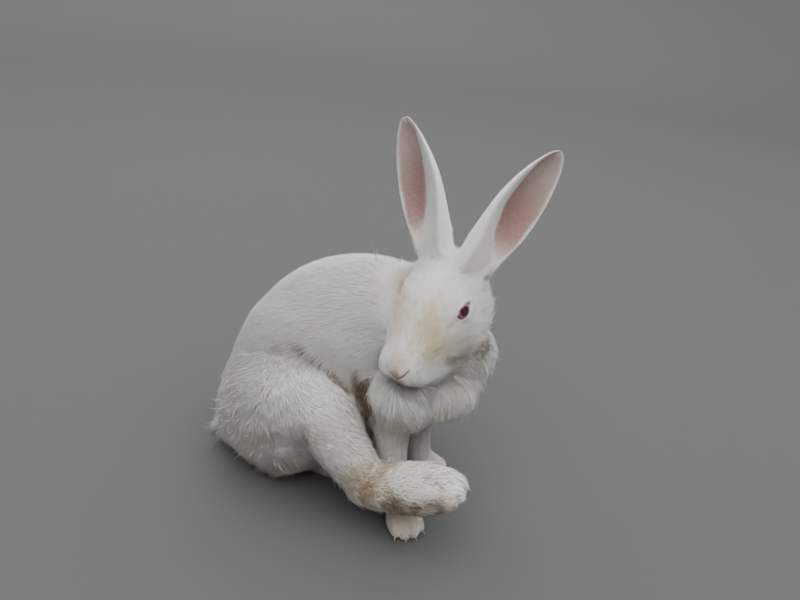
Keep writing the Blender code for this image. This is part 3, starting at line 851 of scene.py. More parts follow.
def inPlace(name, spot):
    if name == "face":
        return fromFace(*spot)
    return inBox(name, spot)


def toStroke(places, start, end):
    way = end - start
    share = ((places - start) @ way / max(way @ way, 1e-12)).clip(0, 1)
    return lengthsOf(places - start - share[:, None] * way) / mm


def markings(places):
    # how yellow, brown and pink coat and skin are at each place
    rest = np.ones((len(places), 3))
    ragged = 0.75 + 0.5 * mottle(places, 5, 3) + 0.25 * mottle(places, 2, 4)
    for name, start, end, wide, strengths in stains:
        near = toStroke(places, inPlace(name, start), inPlace(name, end)) * ragged
        soft = 1 - min(strengths[1] / 0.5, 1)
        amount = 1 - smoothStep(near, (0.3 - 0.25 * soft) * wide, (1.2 + 0.35 * soft) * wide)
        rest *= 1 - amount[:, None] * np.array(strengths)
    found = 1 - rest
    found[:, 0] = (found[:, 0] + 0.16 * smoothStep(mottle(places, 16, 5), 0.55, 1.0)).clip(0, 1)
    return found


# the lie of the coat

following = {"shin": "foot", "foreleg": "paw"}
# the coat runs into the damp hollow of the flank
pull = {"place": ("trunk", (0.13, 0.40, 0.44)), "reach": 24, "share": 1.6}


def lieOf(name, places):
    # the way that the coat runs on this part, before it is laid on the skin
    kind = sideless(name)
    down = np.array((0, 0, -1.0))
    if kind == "head":
        return unit(places - noseTip) + down * 0.15
    if kind == "neck":
        return unit(places - eyesMiddle) + down * 0.8
    if kind == "trunk":
        return unit(places - middle("neck")) + down * 0.35
    if kind == "tail":
        return np.tile(unit(middle("tail") - middle("trunk")), (len(places), 1))
    if kind == "ear":
        return np.tile(ears[name]["axes"][0], (len(places), 1))
    if kind == "thigh":
        # over the haunch the coat runs on from the trunk, and turns down towards the knee
        way = unit(middle(name.replace(kind, "shin")) - middle(name))
        share = smoothStep((places - middle(name)) @ way / mm, -35, 30)[:, None]
        return lieOf("trunk", places) * (1 - share) + way * share
    if kind in following:
        to = middle(name.replace(kind, following[kind]))
    else:
        to = clawPlaces(name).mean(axis=0)
    return np.tile(unit(to - middle(name)), (len(places), 1))


def layFlat(ways, outward):
    return unit(ways - outward * np.sum(ways * outward, axis=1, keepdims=True))


def lieOfCoat(places, outward, labels, links):
    ways = np.zeros_like(places)
    for number, name in enumerate(fleshNames):
        here = labels == number
        ways[here] = unit(lieOf(name, places[here]))
    pit = inBox(*pull["place"])
    away = pit - places
    near = np.exp(-((lengthsOf(away) / mm / pull["reach"]) ** 2))
    ways += unit(away) * near[:, None] * pull["share"]
    ways = layFlat(ways, outward)
    for _ in range(passes["lieRounds"]):
        ways = layFlat(spread(ways, links, passes["lie"]), outward)
    return ways


# the bare skin in an ear: how it is found as what faces the ear's middle line, how ragged and how soft its
# edge is, how far under the rim it starts in mm, and where along the ear its deep shade and veins come and
# go; a vein is given by how far in from the edge it runs, how wide it is and how strong
earSkin = {
    "stations": 24,
    "reach": 0.035,
    "facing": (0.0, 0.8),
    "ragged": 0.10,
    "soft": (0.08, 0.22),
    "softTo": (0.1, 0.45),
    "underRim": (0.8, 2.4),
    "deep": ((0.12, 0.34), (0.45, 0.85)),
    "veins": ((0.15, 0.40), (0.75, 0.92)),
    "veinShare": 0.7,
    "edgeVein": (0.07, 0.07),
    "midVein": (0.55, 0.05, 0.5),
    "wave": (0.07, 17),
    "root": (0.06, 0.30),  # where the fur of the ear's root ends
    "thinner": 0.80,  # how much thinner and shorter the fur in the hollow is
    "shorter": 0.35,
}


def insideEar(places, outward, labels):
    # 1 on the bare skin in an ear's hollow, how far up the ear, and how far across from the bare skin's edge
    hollow, up, beyond = np.zeros((3, len(places)))
    for number, name in zip(earNumbers, earNames):
        here = np.flatnonzero(labels == number)
        share, x, y, _, rim = inEar(name, places[here])
        stations = np.linspace(0, 1, earSkin["stations"])
        centres = [places[here][np.abs(share - at) < earSkin["reach"]].mean(axis=0) for at in stations]
        centre = np.array([np.interp(share, stations, axis) for axis in np.array(centres).T]).T
        facing = np.sum(outward[here] * (centre - places[here]), axis=1) / mm
        edge = np.interp(share, earStations, ears[name]["edge"])
        x = x + earSkin["ragged"] * (mottle(places[here], 7, 31) - 0.5)
        least, more = earSkin["soft"]
        fade = least + more * (1 - smoothStep(share, *earSkin["softTo"]))
        bare = smoothStep(facing, *earSkin["facing"]) * (1 - smoothStep(x, edge - fade, edge + fade))
        hollow[here] = bare * smoothStep((rim - y) / mm, *earSkin["underRim"])
        up[here], beyond[here] = share, x - edge
    return hollow, up, beyond


def unwrap(target):
    bpy.context.view_layer.objects.active = target
    target.select_set(True)
    target.data.uv_layers.new(name="OFBake")
    bpy.ops.object.mode_set(mode="EDIT")
    bpy.ops.mesh.select_all(action="SELECT")
    bpy.ops.uv.smart_project(angle_limit=math.radians(66), island_margin=0.002)
    bpy.ops.object.mode_set(mode="OBJECT")
    return readOff(target.data.uv_layers["OFBake"].data, "uv", 2)


def addAttribute(mesh, name, values):
    mesh.attributes.new(name, "FLOAT", "POINT").data.foreach_set("value", values.astype(np.float32))


# where the coat changes, in mm: the rump over the floor and behind the middle, the cheeks ahead of the
# muzzle's end and below it, the chest ahead of the middle and over the floor, the thigh over the floor where
# it is as smooth as the trunk, and the ruff under the chin by places on the face and their reaches
fluff = {
    "rumpHigh": (55, 115),
    "rumpBack": (5, 50),
    "cheekBack": (-58, -30),
    "cheekLow": (-14, 10),
    "chestAhead": (34, 58),
    "chestHigh": (80, 105),
    "thighTop": (100, 145),
    "ruff": (((24, -22, -44), 30), ((0, 6, -30), 28), ((18, -4, -32), 24)),
}


def describeSkin():
    # all that the coat needs to know at each point of the skin
    places, outward, links = points(skinMesh), normals(skinMesh), edges(skinMesh)
    labels = partsNear(places, fleshNames)
    field = {"place": places, "outward": outward}
    even = unit(spread(outward, links, passes["normals"]))
    field["lie"] = lieOfCoat(places, even, labels, links)
    field["shading"] = unit(spread(outward, links, passes["shading"]))
    kinds = kindOf[labels]
    low = 1 - smoothStep(places[:, 2] / mm, *fluff["rumpHigh"])
    rump = low * smoothStep(places[:, 1] / mm, *fluff["rumpBack"]) * np.isin(kinds, ("trunk", "thigh"))
    x, y, z = onFace(places)
    back = 1 - smoothStep(y, *fluff["cheekBack"])
    cheek = back * smoothStep(-z, *fluff["cheekLow"]) * (kinds == "head")
    chest = smoothStep(-places[:, 1] / mm, *fluff["chestAhead"]) * (kinds == "trunk")
    chest *= smoothStep(places[:, 2] / mm, *fluff["chestHigh"])
    rump, cheek, chest = (spread(value, links, passes["stretches"]) for value in (rump, cheek, chest))
    thighTop = smoothStep(places[:, 2] / mm, *fluff["thighTop"]) * (kinds == "thigh")
    ruff = np.zeros(len(places))
    for (left, ahead, high), reach in fluff["ruff"]:
        ruff = np.maximum(ruff, np.exp(-((x - left) ** 2 + (y - ahead) ** 2 + (z - high) ** 2) / reach**2))
    ruff *= np.isin(kinds, ("neck", "trunk", "foreleg")) | ((kinds == "head") & (z < -20))
    stretches = (("rump", rump), ("neck", chest), ("ruff", ruff), ("trunk", thighTop), ("cheek", cheek))
    for key in coatKeys:
        values = byPart(labels, fleshNames, key, links, passes["depth" if key == "depth" else "coat"])
        for row, share in stretches:
            values += (coatOf(row, key) - values) * share
        field[key] = values
    hollow, up, beyond = insideEar(places, outward, labels)
    field |= {"hollow": spread(hollow, links, passes["hollow"]), "up": up, "beyond": beyond}
    isEar = np.isin(labels, earNumbers)
    nearRoot = spread((1 - smoothStep(up, *earSkin["root"])) * isEar, links, passes["earRoot"])
    for key in coatKeys:
        field[key] += (coatOf("earRoot", key) - field[key]) * nearRoot * isEar
    bare = np.zeros(len(places))
    for side in eyeCentres:
        ring, near = nearEye(places, side, eyeRadius + 8 * mm)
        bare = np.maximum(bare, (1 - smoothStep(ring, *eyeShape["bare"])) * near)
        for key in ("length", "depth"):
            field[key] *= 1 - 0.5 * near * (1 - smoothStep(ring, *eyeShape["short"]))
    away = np.sqrt(x**2 + (y + 8) ** 2 + (z - 9) ** 2)
    muzzle = (1 - smoothStep(away, *nose["muzzle"])) * (kinds == "head")
    for key, share in nose["finer"]:
        field[key] *= 1 - share * muzzle
    field["count"] *= 1 + nose["closer"] * muzzle
    pad = hill(x, z, nose["pad"], 4.2, 5.0) * (y > -24)
    slits = noseLines(places)
    bareNose = np.maximum(smoothStep(slits, 0.25, 0.7), 0.75 * smoothStep(pad, 0.35, 0.7))
    field |= {"bare": np.maximum(bare, bareNose), "slit": slits, "nosePad": pad, "labels": labels}
    inner = isEar * field["hollow"]
    field["count"] *= 1 - earSkin["thinner"] * inner
    field["length"] *= 1 - earSkin["shorter"] * inner
    return field


def skinValues(field):
    # what the skin's finish reads at each point
    yellow, brown, pink = markings(field["place"]).T
    up, beyond = field["up"], field["beyond"]
    hollow = field["hollow"] * np.isin(field["labels"], earNumbers)
    lids = np.zeros(len(hollow))
    for side in eyeCentres:
        ring, near = nearEye(field["place"], side, eyeRadius + 6 * mm)
        lids = np.maximum(lids, near * (1 - smoothStep(ring, *eyeShape["tint"])))
    inwards, wide = earSkin["edgeVein"]
    vein = np.exp(-(((beyond + inwards) / wide) ** 2))
    inwards, wide, share = earSkin["midVein"]
    high, often = earSkin["wave"]
    vein += share * np.exp(-(((beyond + (inwards + high * np.sin(up * often))) / wide) ** 2))
    start, end = earSkin["veins"]
    along = smoothStep(up, *start) * (1 - smoothStep(up, *end))
    start, end = earSkin["deep"]
    return {
        "yellow": yellow,
        "brown": brown,
        "pink": pink,
        # painted shade in the ear's hollow, strongest low down the ear
        "deep": hollow * smoothStep(up, *start) * (1 - smoothStep(up, *end)),
        "lid": lids,
        "hollow": hollow,
        "vein": vein.clip(0, 1) * along * hollow * earSkin["veinShare"],
        "nose": smoothStep(field["nosePad"], 0.3, 0.7),
        # painted shade in the grooves of nose and mouth
        "slit": smoothStep(field["slit"], 0.35, 0.8),
    }


# one tuft, and the coat made of them


def cutAcross(bm, height):
    everything = bm.verts[:] + bm.edges[:] + bm.faces[:]
    bmesh.ops.bisect_plane(bm, geom=everything, plane_co=(0, 0, height), plane_no=(0, 0, 1))


def tuftShape(sides, rings):
    # a closed spike of this many sides: its points as (turn, share along), and its triangles
    bm = bmesh.new()
    bmesh.ops.create_cone(bm, cap_ends=True, segments=sides, radius1=1, radius2=0, depth=1)
    for ring in range(1, rings + 1):
        cutAcross(bm, ring / (rings + 1) - 0.5)
    bmesh.ops.triangulate(bm, faces=bm.faces)
    bmesh.ops.recalc_face_normals(bm, faces=bm.faces)
    places = np.array([vert.co for vert in bm.verts])
    triangles = np.array([[vert.index for vert in face.verts] for face in bm.faces])
    bm.free()
    along = places[:, 2] + 0.5
    wide = np.hypot(places[:, 0], places[:, 1])
    around = places[:, :2] / np.maximum(wide, 1e-6)[:, None] * (wide > 1e-4)[:, None]
    return around, along, triangles


def makeTufts(name, shape, path, across, width, patch, roots, values, outline, outward=None, soft=0):
    # path holds each tuft's root, middle and tip, and across its two side directions
    around, along, triangles = shape
    many, each = len(width), len(along)
    start, mid, tip = (place[:, None, :] for place in path)
    t = along[None, :, None]
    centre = start * (1 - t) * (1 - 2 * t) + mid * 4 * t * (1 - t) + tip * t * (2 * t - 1)
    radius = width[:, None] / 2 * np.interp(along, *outline)[None, :]
    sides, ups = (way[:, None, :] for way in across)
    offset = sides * around[None, :, :1] + ups * tuft["flat"] * around[None, :, 1:]
    places = centre + offset * radius[:, :, None]
    places[:, :, 2] = np.maximum(places[:, :, 2], 0.12 * mm + along[None, :] * 0.05 * mm)
    mesh = bpy.data.meshes.new(name)
    faces = (triangles[None] + (np.arange(many) * each)[:, None, None]).reshape(-1)
    mesh.vertices.add(many * each)
    mesh.vertices.foreach_set("co", places.astype(np.float32).ravel())
    mesh.loops.add(len(faces))
    mesh.loops.foreach_set("vertex_index", faces.astype(np.int32))
    mesh.polygons.add(len(faces) // 3)
    mesh.polygons.foreach_set("loop_start", np.arange(0, len(faces), 3, dtype=np.int32))
    mesh.update(calc_edges=True)
    spot = roots[:, None, :] + around[None] * ((1 - along) * patch)[None, :, None]
    layer = mesh.uv_layers.new(name="OFBake")
    layer.data.foreach_set("uv", spot.reshape(-1, 2)[faces].astype(np.float32).ravel())
    for key, value in values.items():
        addAttribute(mesh, key, np.repeat(value, each))
    addAttribute(mesh, "along", np.tile(along, many))
    mesh.shade_smooth()
    if outward is not None:
        own = np.where((along > 0.999)[None, :, None], unit(tip - start), unit(offset + 1e-9))
        shading = unit(outward[:, None, :] * soft + own * (1 - soft))
        mesh.normals_split_custom_set_from_vertices(shading.reshape(-1, 3))
    return newObject(name, mesh)


tuft = {
    "sides": 3,
    "flat": 0.6,  # how thick it is to its width
    "patch": 0.0015,  # half of what a tuft takes of the unwrap
    "most": 196000,  # triangles in one piece
    "lengths": (0.72, 1.15),  # the shortest and longest, as shares of the part's own length
    "widths": (0.7, 1.2),
    "strays": 0.045,  # the share of tufts that stray, and how much longer and higher those are
    "strayLength": 1.3,
    "strayLift": 2.4,
    "sink": 0.4,  # how far a root lies under the skin
    "swell": ((0.65, 13, 21), (0.35, 6, 22)),  # soft clumps: their share, how many mm across, and their seed
    "lockReach": 1.6,  # how far off a lock takes in tufts, in spaces between locks
    "lockPull": (0.4, 1.1),  # how unevenly it pulls them, and how far at most
    "lockMost": 0.9,
    "lockBend": 0.35,  # how much the middle of a tuft follows its tip
    "overEye": 0.97,  # the lids' ring inside which a tuft is cut, and what is left of it
    "cut": 0.3,
}
# by group of parts: which they are, the rings in a tuft, its outline from root to tip, mm between locks,
# and how far a tuft is shaded as the skin under it, as soft fur is
bent, straight = ((0, 0.5, 1), (0.8, 1.0, 0.0)), ((0, 1), (1.0, 0.0))
groups = {
    "trunk": (("trunk", "tail"), 0, straight, 9.0, 0.66),
    "haunches": (("thigh",), 1, bent, 9.0, 0.64),
    "legs": (("shin", "foreleg"), 1, bent, 7.0, 0.62),
    "feet": (("foot", "paw"), 1, bent, 6.0, 0.58),
    "neck": (("neck",), 1, bent, 9.0, 0.52),
    "head": (("head",), 0, straight, 6.5, 0.44),
    "ears": (("ear",), 0, straight, 4.0, 0.40),
}


def plantRoots(field, corners, loops, uv):
    # roots strewn over the skin's triangles, with every field read off at each
    places = field["place"][corners]
    first, second = places[:, 1] - places[:, 0], places[:, 2] - places[:, 0]
    area = lengthsOf(np.cross(first, second)) / 2 / mm**2
    want = area * (field["count"] * (1 - smoothStep(field["bare"], 0.3, 0.8)))[corners].mean(axis=1)
    many = np.floor(want + random.random(len(want))).astype(int)
    chosen = np.repeat(np.arange(len(want)), many)
    share = random.dirichlet((1, 1, 1), len(chosen))
    found = {}
    for key, values in field.items():
        if key != "labels":
            picked = values[corners[chosen]]
            found[key] = np.einsum("ij,ij...->i...", share, picked)
    found["uv"] = np.einsum("ij,ijk->ik", share, uv[loops[chosen]])
    found["labels"] = field["labels"][corners[chosen, share.argmax(axis=1)]]
    found["outward"] = unit(found["outward"])
    found["lie"] = layFlat(found["lie"], found["outward"])
    return found


def raised(tree, places, height):
    # these places brought to a height over the skin
    found = np.empty_like(places)
    for number, place in enumerate(places):
        spot, up, _, _ = tree.find_nearest(place)
        found[number] = spot + up * height[number]
    return found


def growTufts(roots, tree):
    many = len(roots["length"])
    start, up, lie = roots["place"], roots["outward"], roots["lie"]
    side = np.cross(up, lie)
    swirl = (mottle(start, 20, 23) - 0.5) * (0.3 * roots["clump"]).clip(0, 1)
    lie = unit(lie + side * (random.normal(size=many) * roots["ruffle"] + swirl)[:, None])
    stray = random.random(many) < tuft["strays"]
    longer, higher = (np.where(stray, tuft[key], 1) for key in ("strayLength", "strayLift"))
    length = roots["length"] * random.uniform(*tuft["lengths"], many) * longer * mm
    lift = roots["lift"] * length * higher
    rise = roots["depth"] * mm * (1 - roots["uneven"] * random.random(many))
    rise += lift * random.uniform(0.2, 1.0, many)
    swell = sum(share * mottle(start, size, seed) for share, size, seed in tuft["swell"]) - 0.5
    rise = np.maximum(rise + roots["clump"] * swell * mm, 0.35 * rise)
    mid = raised(tree, start + lie * (length * 0.5)[:, None], 0.7 * rise)
    tip = raised(tree, start + lie * length[:, None], rise)
    return start - up * tuft["sink"] * mm, mid, tip


def clearOfEyes(start, mid, tip):
    # tufts that would lie over an eye are cut short
    for side in eyeCentres:
        covers = np.zeros(len(tip), bool)
        for place in (mid, tip):
            ring, near = nearEye(place, side, 2 * eyeRadius)
            covers |= (ring < tuft["overEye"]) & near
        share = np.where(covers, tuft["cut"], 1.0)[:, None]
        mid, tip = start + (mid - start) * share, start + (tip - start) * share
    return mid, tip


def gatherLocks(start, mid, tip, locks, spacing):
    # pulls the tips towards the middle of their lock
    many = len(tip)
    cell = np.floor(tip / spacing + 0.5).astype(int)
    keys, which = np.unique(cell, axis=0, return_inverse=True)
    heart = np.zeros(len(keys), int)
    order = random.permutation(many)
    heart[which.ravel()[order]] = order
    tree = KDTree(len(keys))
    for number, index in enumerate(heart):
        tree.insert(start[index], number)
    tree.balance()
    mine = np.array([heart[tree.find(place)[1]] for place in start])
    near = lengthsOf(start[mine] - start) < tuft["lockReach"] * spacing
    amount = ((locks * random.uniform(*tuft["lockPull"], many)).clip(0, tuft["lockMost"]) * near)[:, None]
    return mid + (mid[mine] - mid) * amount * tuft["lockBend"], tip + (tip[mine] - tip) * amount, mine


def makeCoat(field, skinTree):
    skinMesh.calc_loop_triangles()
    corners, loops = (readOff(skinMesh.loop_triangles, what, 3, np.int32) for what in ("vertices", "loops"))
    roots = plantRoots(field, corners, loops, skinUv)
    start, mid, tip = growTufts(roots, skinTree)
    yellow, brown, pink = (markings(roots["place"]) * random.uniform(0.6, 1.15, (len(tip), 1))).clip(0, 1).T
    hollow = roots["hollow"] * np.isin(roots["labels"], earNumbers)
    shade = random.random(len(tip))
    kinds = kindOf[roots["labels"]]
    made = []
    for group, (members, rings, outline, spacing, soft) in groups.items():
        chosen = np.flatnonzero(np.isin(kinds, members))
        chosen = chosen[np.argsort(roots["place"][chosen, 1])]
        root = start[chosen]
        bend, end, mine = gatherLocks(root, mid[chosen], tip[chosen], roots["locks"][chosen], spacing * mm)
        bend, end = clearOfEyes(root, bend, end)
        tint = 0.6 * shade[chosen] + 0.4 * shade[chosen][mine]
        side = unit(np.cross(roots["outward"][chosen], end - root))
        up = unit(np.cross(end - root, side))
        width = roots["width"][chosen] * random.uniform(*tuft["widths"], len(chosen)) * mm
        shape = tuftShape(tuft["sides"], rings)
        parts = math.ceil(len(chosen) * len(shape[2]) / tuft["most"])
        for number, part in enumerate(np.array_split(np.arange(len(chosen)), parts), 1):
            name = f"coat_{group}" + (f"_{number}" if parts > 1 else "")
            taken = chosen[part]
            values = {"yellow": yellow[taken], "brown": brown[taken], "pink": pink[taken]}
            values |= {"hollow": hollow[taken], "shade": tint[part]}
            path, across = (root[part], bend[part], end[part]), (side[part], up[part])
            made.append(makeTufts(
                name, shape, path, across, width[part], tuft["patch"], roots["uv"][taken], values, outline,
                roots["shading"][taken], soft,
            ))
        print(f"coat of {group}:", len(chosen), "tufts in", parts)
    return made


# eyes, claws and whiskers

# angles from the way the eye looks, and in mm how far the cornea stands out and the ball lies in its socket
eye = {"iris": 0.74, "pupil": 0.42, "bulge": 0.6, "inset": 0.25}
claw = {"sides": 10, "rings": 5, "thick": 1.4, "point": 0.12}
claw |= {"curve": 0.7, "full": 0.2, "sink": 3.5, "worn": 1.8}
# whiskers start this far to a side, up and behind the muzzle's end, in mm
whisker = {
    "count": 8,
    "side": (7, 12),
    "up": (-12, -3),
    "behind": (3, 9),
    "length": (16, 30),
    "thick": 0.19,
    "droop": 0.12,
    "outline": ((0, 0.3, 1), (1.0, 0.8, 0.15)),
    "patch": 0.003,
}


def makeEye(side):
    look = Vector(eyeAxes(side, "gaze")[0])
    bm = bmesh.new()
    turn = Matrix.Translation(eyeCentres[side]) @ look.to_track_quat("Z", "Y").to_matrix().to_4x4()
    radius = eyeRadius - eye["inset"] * mm
    bmesh.ops.create_uvsphere(bm, u_segments=48, v_segments=40, radius=radius, matrix=turn)
    centre = Vector(eyeCentres[side])
    angles = []
    for vert in bm.verts:
        angle = (vert.co - centre).angle(look)
        angles.append(angle)
        swell = max(0.0, 1 - (angle / (eye["iris"] * 1.15)) ** 2)
        vert.co += (vert.co - centre).normalized() * eye["bulge"] * mm * swell
    mesh = toMesh(bm, "eyeball_" + side)
    addAttribute(mesh, "angle", np.array(angles))
    mesh.shade_smooth()
    return newObject("eyeball_" + side, mesh)


def makeClaw(name):
    # a curved horn from inside the toe to the tip of its solid
    places = points(nodes[name].data)
    away = lengthsOf(places - middle(name[5:-2]))
    tip = places[away.argmax()]
    root = places[away < away.min() + 0.8 * mm].mean(axis=0)
    way = Vector(unit(tip - root))
    root = Vector(root) - way * claw["sink"] * mm
    length = (Vector(tip) - root).length - claw["worn"] * mm
    bm = bmesh.new()
    ends = {"radius1": claw["thick"] * mm, "radius2": claw["point"] * mm}
    bmesh.ops.create_cone(bm, cap_ends=True, segments=claw["sides"], depth=length, **ends)
    for share in np.linspace(-0.5, 0.5, claw["rings"] + 2)[1:-1]:
        cutAcross(bm, share * length)
    turn = way.to_track_quat("Z", "Y")
    curl = way.cross(Vector((0, 0, 1))).normalized().cross(way).normalized()
    for vert in bm.verts:
        share = vert.co.z / length + 0.5
        fuller = 1 + claw["full"] * math.sin(math.pi * share)
        place = Vector((vert.co.x * fuller * 0.8, vert.co.y * fuller, vert.co.z + length / 2))
        vert.co = root + turn @ place + curl * 4 * share * (1 - share) * claw["curve"] * mm
    return toMesh(bm, name)


def makeClaws():
    bm = bmesh.new()
    names = [name for name in nodes if name.startswith("claw")]
    for name in names:
        bm.from_mesh(makeClaw(name))
    bmesh.ops.recalc_face_normals(bm, faces=bm.faces)
    mesh = toMesh(bm, "claws")
    mesh.shade_smooth()
    return newObject("claws", mesh), names


def makeWhiskers(skinTree):
    starts, ways, lengths = [], [], []
    for sign in (-1, 1):
        for _ in range(whisker["count"]):
            left, high, behind = (random.uniform(*whisker[key]) for key in ("side", "up", "behind"))
            place = noseTip + (faceLeft * (sign * left) + faceUp * high - faceFront * behind) * mm
            spot, outward, _, _ = skinTree.find_nearest(place)
            way = faceLeft * sign - faceFront * random.uniform(-0.2, 1.0) + faceUp * random.uniform(-0.3, 0.8)
            starts.append(np.array(spot))
            ways.append(unit(way + np.array(outward) * 0.7))
            lengths.append(random.uniform(*whisker["length"]) * mm)
    start, way, length = np.array(starts), np.array(ways), np.array(lengths)[:, None]
    mid = start + way * length * 0.5
    tip = start + way * length + np.array((0, 0, -1)) * length * whisker["droop"]
    side = unit(np.cross(way, (0.1, 0.2, 1.0)))
    up = np.cross(way, side)
    width = np.full(len(start), whisker["thick"] * mm)
    roots = np.zeros((len(start), 2)) + np.linspace(0.1, 0.9, len(start))[:, None]
    path, across = (start - way * mm, mid, tip), (side, up / tuft["flat"])
    patch, outline = whisker["patch"], whisker["outline"]
    return makeTufts("whiskers", tuftShape(5, 6), path, across, width, patch, roots, {}, outline)


# the few hairs that stand up on the back
wisp = {"place": ("trunk", (0.50, 0.45, 1.0)), "count": 7, "length": (6, 12), "lean": 0.14, "thick": 0.5}


def makeWisp(skinTree):
    spot, outward, _, _ = skinTree.find_nearest(inBox(*wisp["place"]))
    many = wisp["count"]
    start = np.array(spot) + np.cross(random.normal(size=(many, 3)), outward) * 0.7 * mm
    way = unit(np.array(outward) + random.normal(size=(many, 3)) * wisp["lean"])
    length = random.uniform(*wisp["length"], (many, 1)) * mm + coatOf("trunk", "depth") * mm
    side = unit(np.cross(way, (0.3, 0.9, 0.1)))
    bend = random.normal(size=(many, 3)) * mm
    roots = np.tile(skinUv.mean(axis=0), (many, 1))
    values = {key: np.zeros(many) for key in ("yellow", "brown", "pink", "hollow")} | {"shade": np.ones(many)}
    path = (start, start + way * length * 0.5 + bend, start + way * length)
    across = (side, np.cross(way, side))
    width, shape = np.full(many, wisp["thick"] * mm), tuftShape(tuft["sides"], 4)
    return makeTufts("coat_wisp", shape, path, across, width, tuft["patch"], roots, values, straight)


# finishes


def furColour(paint, bare):
    # white fur with its stains, by the attributes that skin and tufts carry alike
    white = paint.mix(paint.noise(0.03, 2.0), colours["cool"], colours["warm"])
    if not bare:
        white = paint.mix(paint.attribute("shade"), colours["shaded"], white)
    result = paint.tint(paint.tint(white, "yellow", "yellow"), "pink", "pink")
    fleck = paint.noise(0.0022, 3.0)
    brown = paint.steps(paint.attribute("brown") * (fleck * 0.9 + 0.55), 0.05, 0.95)
    return paint.mix(brown, result, colours["brown"])


def furFinish():
    paint = Paint("white fur", Roughness=0.9, Specular_IOR_Level=0.1, Sheen_Weight=0.12, Sheen_Roughness=0.6)
    colour = furColour(paint, False)
    # towards its root each tuft turns warmer and darker, painted shade deep in the coat, and keeps its brown
    # stain
    along = paint.steps(paint.attribute("along"), 0.0, 0.5)
    rootShadeAndStain = paint.mix(paint.attribute("brown") * 0.8, colours["root"], colours["brown"])
    colour = paint.mix(along, rootShadeAndStain, colour)
    paint.colour(paint.mix(paint.attribute("hollow") * 0.6, colour, colours["earRim"]))
    return paint.material


def skinFinish():
    paint = Paint("skin under the coat", Roughness=0.75, Specular_IOR_Level=0.25, Subsurface_Weight=0.1)
    paint.shader.inputs["Subsurface Radius"].default_value = (0.004, 0.0016, 0.001)
    paint.shader.inputs["Subsurface Scale"].default_value = 1.0
    # the skin takes the fur's colours turned about a third of the way to the darker pink of bare skin: its
    # own colour, and painted shade between the tufts
    fur = paint.mix(0.35, furColour(paint, True), colours["bare"])
    hollow = paint.mix(paint.noise(0.012, 2.0), colours["earRim"], colours["earHollow"])
    # the ear's hollow: its pink skin, painted shade low down it, and its veins
    hollow = paint.tint(paint.tint(hollow, "deep", "earDeepShade"), "vein", "vein")
    colour = paint.mix(paint.attribute("hollow"), fur, hollow)
    # the lids' and nose's own colours, and painted shade in the grooves of nose and mouth
    for key in ("lid", "nose", "slit"):
        colour = paint.tint(colour, key, key)
    paint.colour(colour)
    paint.bump(paint.noise(0.0007, 4.0, 0.65) + paint.noise(0.003, 2.0) * 0.4, 0.2, 0.0003)
    return paint.material


def eyeFinish():
    paint = Paint("ruby eye", Roughness=0.22, Coat_Weight=1.0, Coat_Roughness=0.04)
    angle = paint.attribute("angle")
    streaks = paint.noise(0.0009, 4.0, 0.6)
    colour = paint.mix(streaks, *colours["iris"])
    iris, pupil = eye["iris"], eye["pupil"]
    for low, high, key in (
        (iris - 0.14, iris, "irisRim"),
        (iris, iris + 0.10, "eyeball"),
        (pupil + 0.04, pupil - 0.04, "pupil"),
    ):
        colour = paint.mix(paint.steps(angle, low, high), colour, colours[key])
    paint.colour(colour)
    paint.bump(streaks, 0.1, 0.0002)
    return paint.material


def clawFinish():
    paint = Paint("horn of the claws", Roughness=0.35, Coat_Weight=0.3, Coat_Roughness=0.25)
    grain = paint.noise(0.0011, 4.0, 0.6)
    paint.colour(paint.mix(grain, *colours["horn"]))
    paint.bump(grain, 0.2, 0.0002)
    return paint.material


def whiskerFinish():
    paint = Paint("whisker", Roughness=0.4)
    paint.colour(paint.mix(paint.attribute("along"), *colours["whisker"]))
    return paint.material


def floorFinish():
    paint = Paint("pale floor", Roughness=0.8)
    low, high = (tuple(share * value for value in light["floor"]) for share in (0.97, 1.03))
    paint.colour(paint.mix(paint.noise(0.4, 3.0), low, high))
    return paint.material


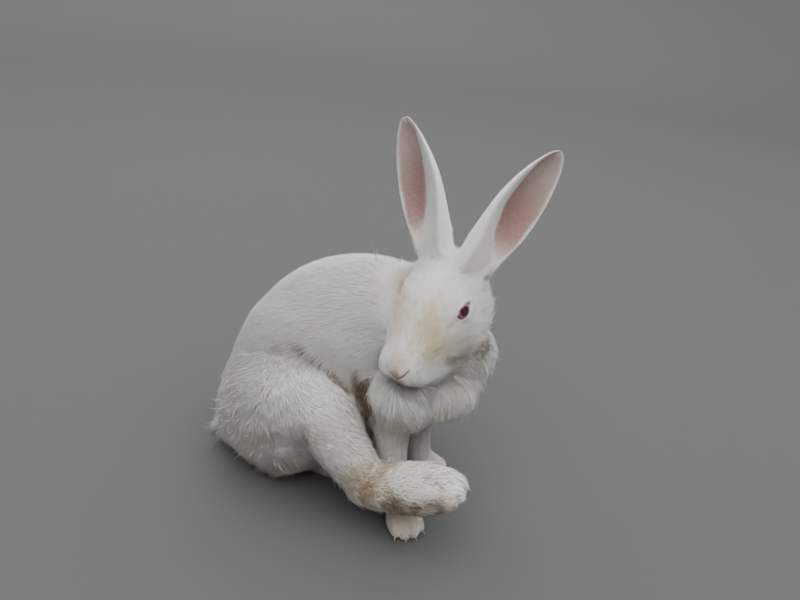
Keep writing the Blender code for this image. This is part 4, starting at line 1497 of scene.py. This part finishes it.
def makeFloor():
    # a disc that bends up at its rim, as a studio sweep does
    bm = bmesh.new()
    bmesh.ops.create_circle(bm, cap_ends=True, segments=96, radius=sweep["flat"])
    rim = bm.edges[:]
    for step in range(1, sweep["steps"] + 2):
        cut = bmesh.ops.extrude_edge_only(bm, edges=rim)["geom"]
        rim = [item for item in cut if isinstance(item, bmesh.types.BMEdge)]
        verts = [item for item in cut if isinstance(item, bmesh.types.BMVert)]
        turn = min(step / sweep["steps"], 1) * math.pi / 2
        reach = sweep["flat"] + sweep["bend"] * math.sin(turn)
        high = sweep["bend"] * (1 - math.cos(turn)) + (sweep["rise"] if step > sweep["steps"] else 0)
        for vert in verts:
            vert.co.xy = vert.co.xy.normalized() * reach
            vert.co.z = high
    bmesh.ops.translate(bm, verts=bm.verts, vec=(0, 0, -0.2 * mm))
    bmesh.ops.recalc_face_normals(bm, faces=bm.faces)
    if bm.faces[0].normal.z < 0:
        bmesh.ops.reverse_faces(bm, faces=bm.faces)
    mesh = toMesh(bm, "floor")
    mesh.shade_smooth()
    return newObject("floor", mesh)


def makeSky():
    world = bpy.data.worlds.new("sky")
    bpy.context.scene.world = world
    world.use_nodes = True
    back = world.node_tree.nodes["Background"]
    back.inputs["Color"].default_value = (*light["sky"], 1)
    back.inputs["Strength"].default_value = light["skyStrength"]


# putting it together

skinMesh = makeSkin()
skinObject = newObject("skin", skinMesh)
print("skin:", len(skinMesh.vertices), "points")
skinUv = unwrap(skinObject)
print("skin unwrapped")
field = describeSkin()
for key, value in skinValues(field).items():
    addAttribute(skinMesh, key, value)
skinMesh.materials.clear()
skinMesh.materials.append(skinFinish())
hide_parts(*fleshNames)
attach(skinObject, "root")

skinTree = treeOf(skinMesh)
fur = furFinish()
for piece in [*makeCoat(field, skinTree), makeWisp(skinTree)]:
    piece.data.materials.append(fur)
    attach(piece, "root")
print("coat made")

eyePaint = eyeFinish()
for side in eyeCentres:
    piece = makeEye(side)
    piece.data.materials.append(eyePaint)
    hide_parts("eye_" + side)
    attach(piece, "root")
claws, clawNames = makeClaws()
claws.data.materials.append(clawFinish())
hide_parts(*clawNames)
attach(claws, "root")
whiskers = makeWhiskers(skinTree)
whiskers.data.materials.append(whiskerFinish())
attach(whiskers, "root")
print("eyes, claws and whiskers made")

floor = makeFloor()
floor.data.materials.append(floorFinish())
makeSky()
for name in ("sun", "fill", "back"):
    makeSun(name)
makeCamera()
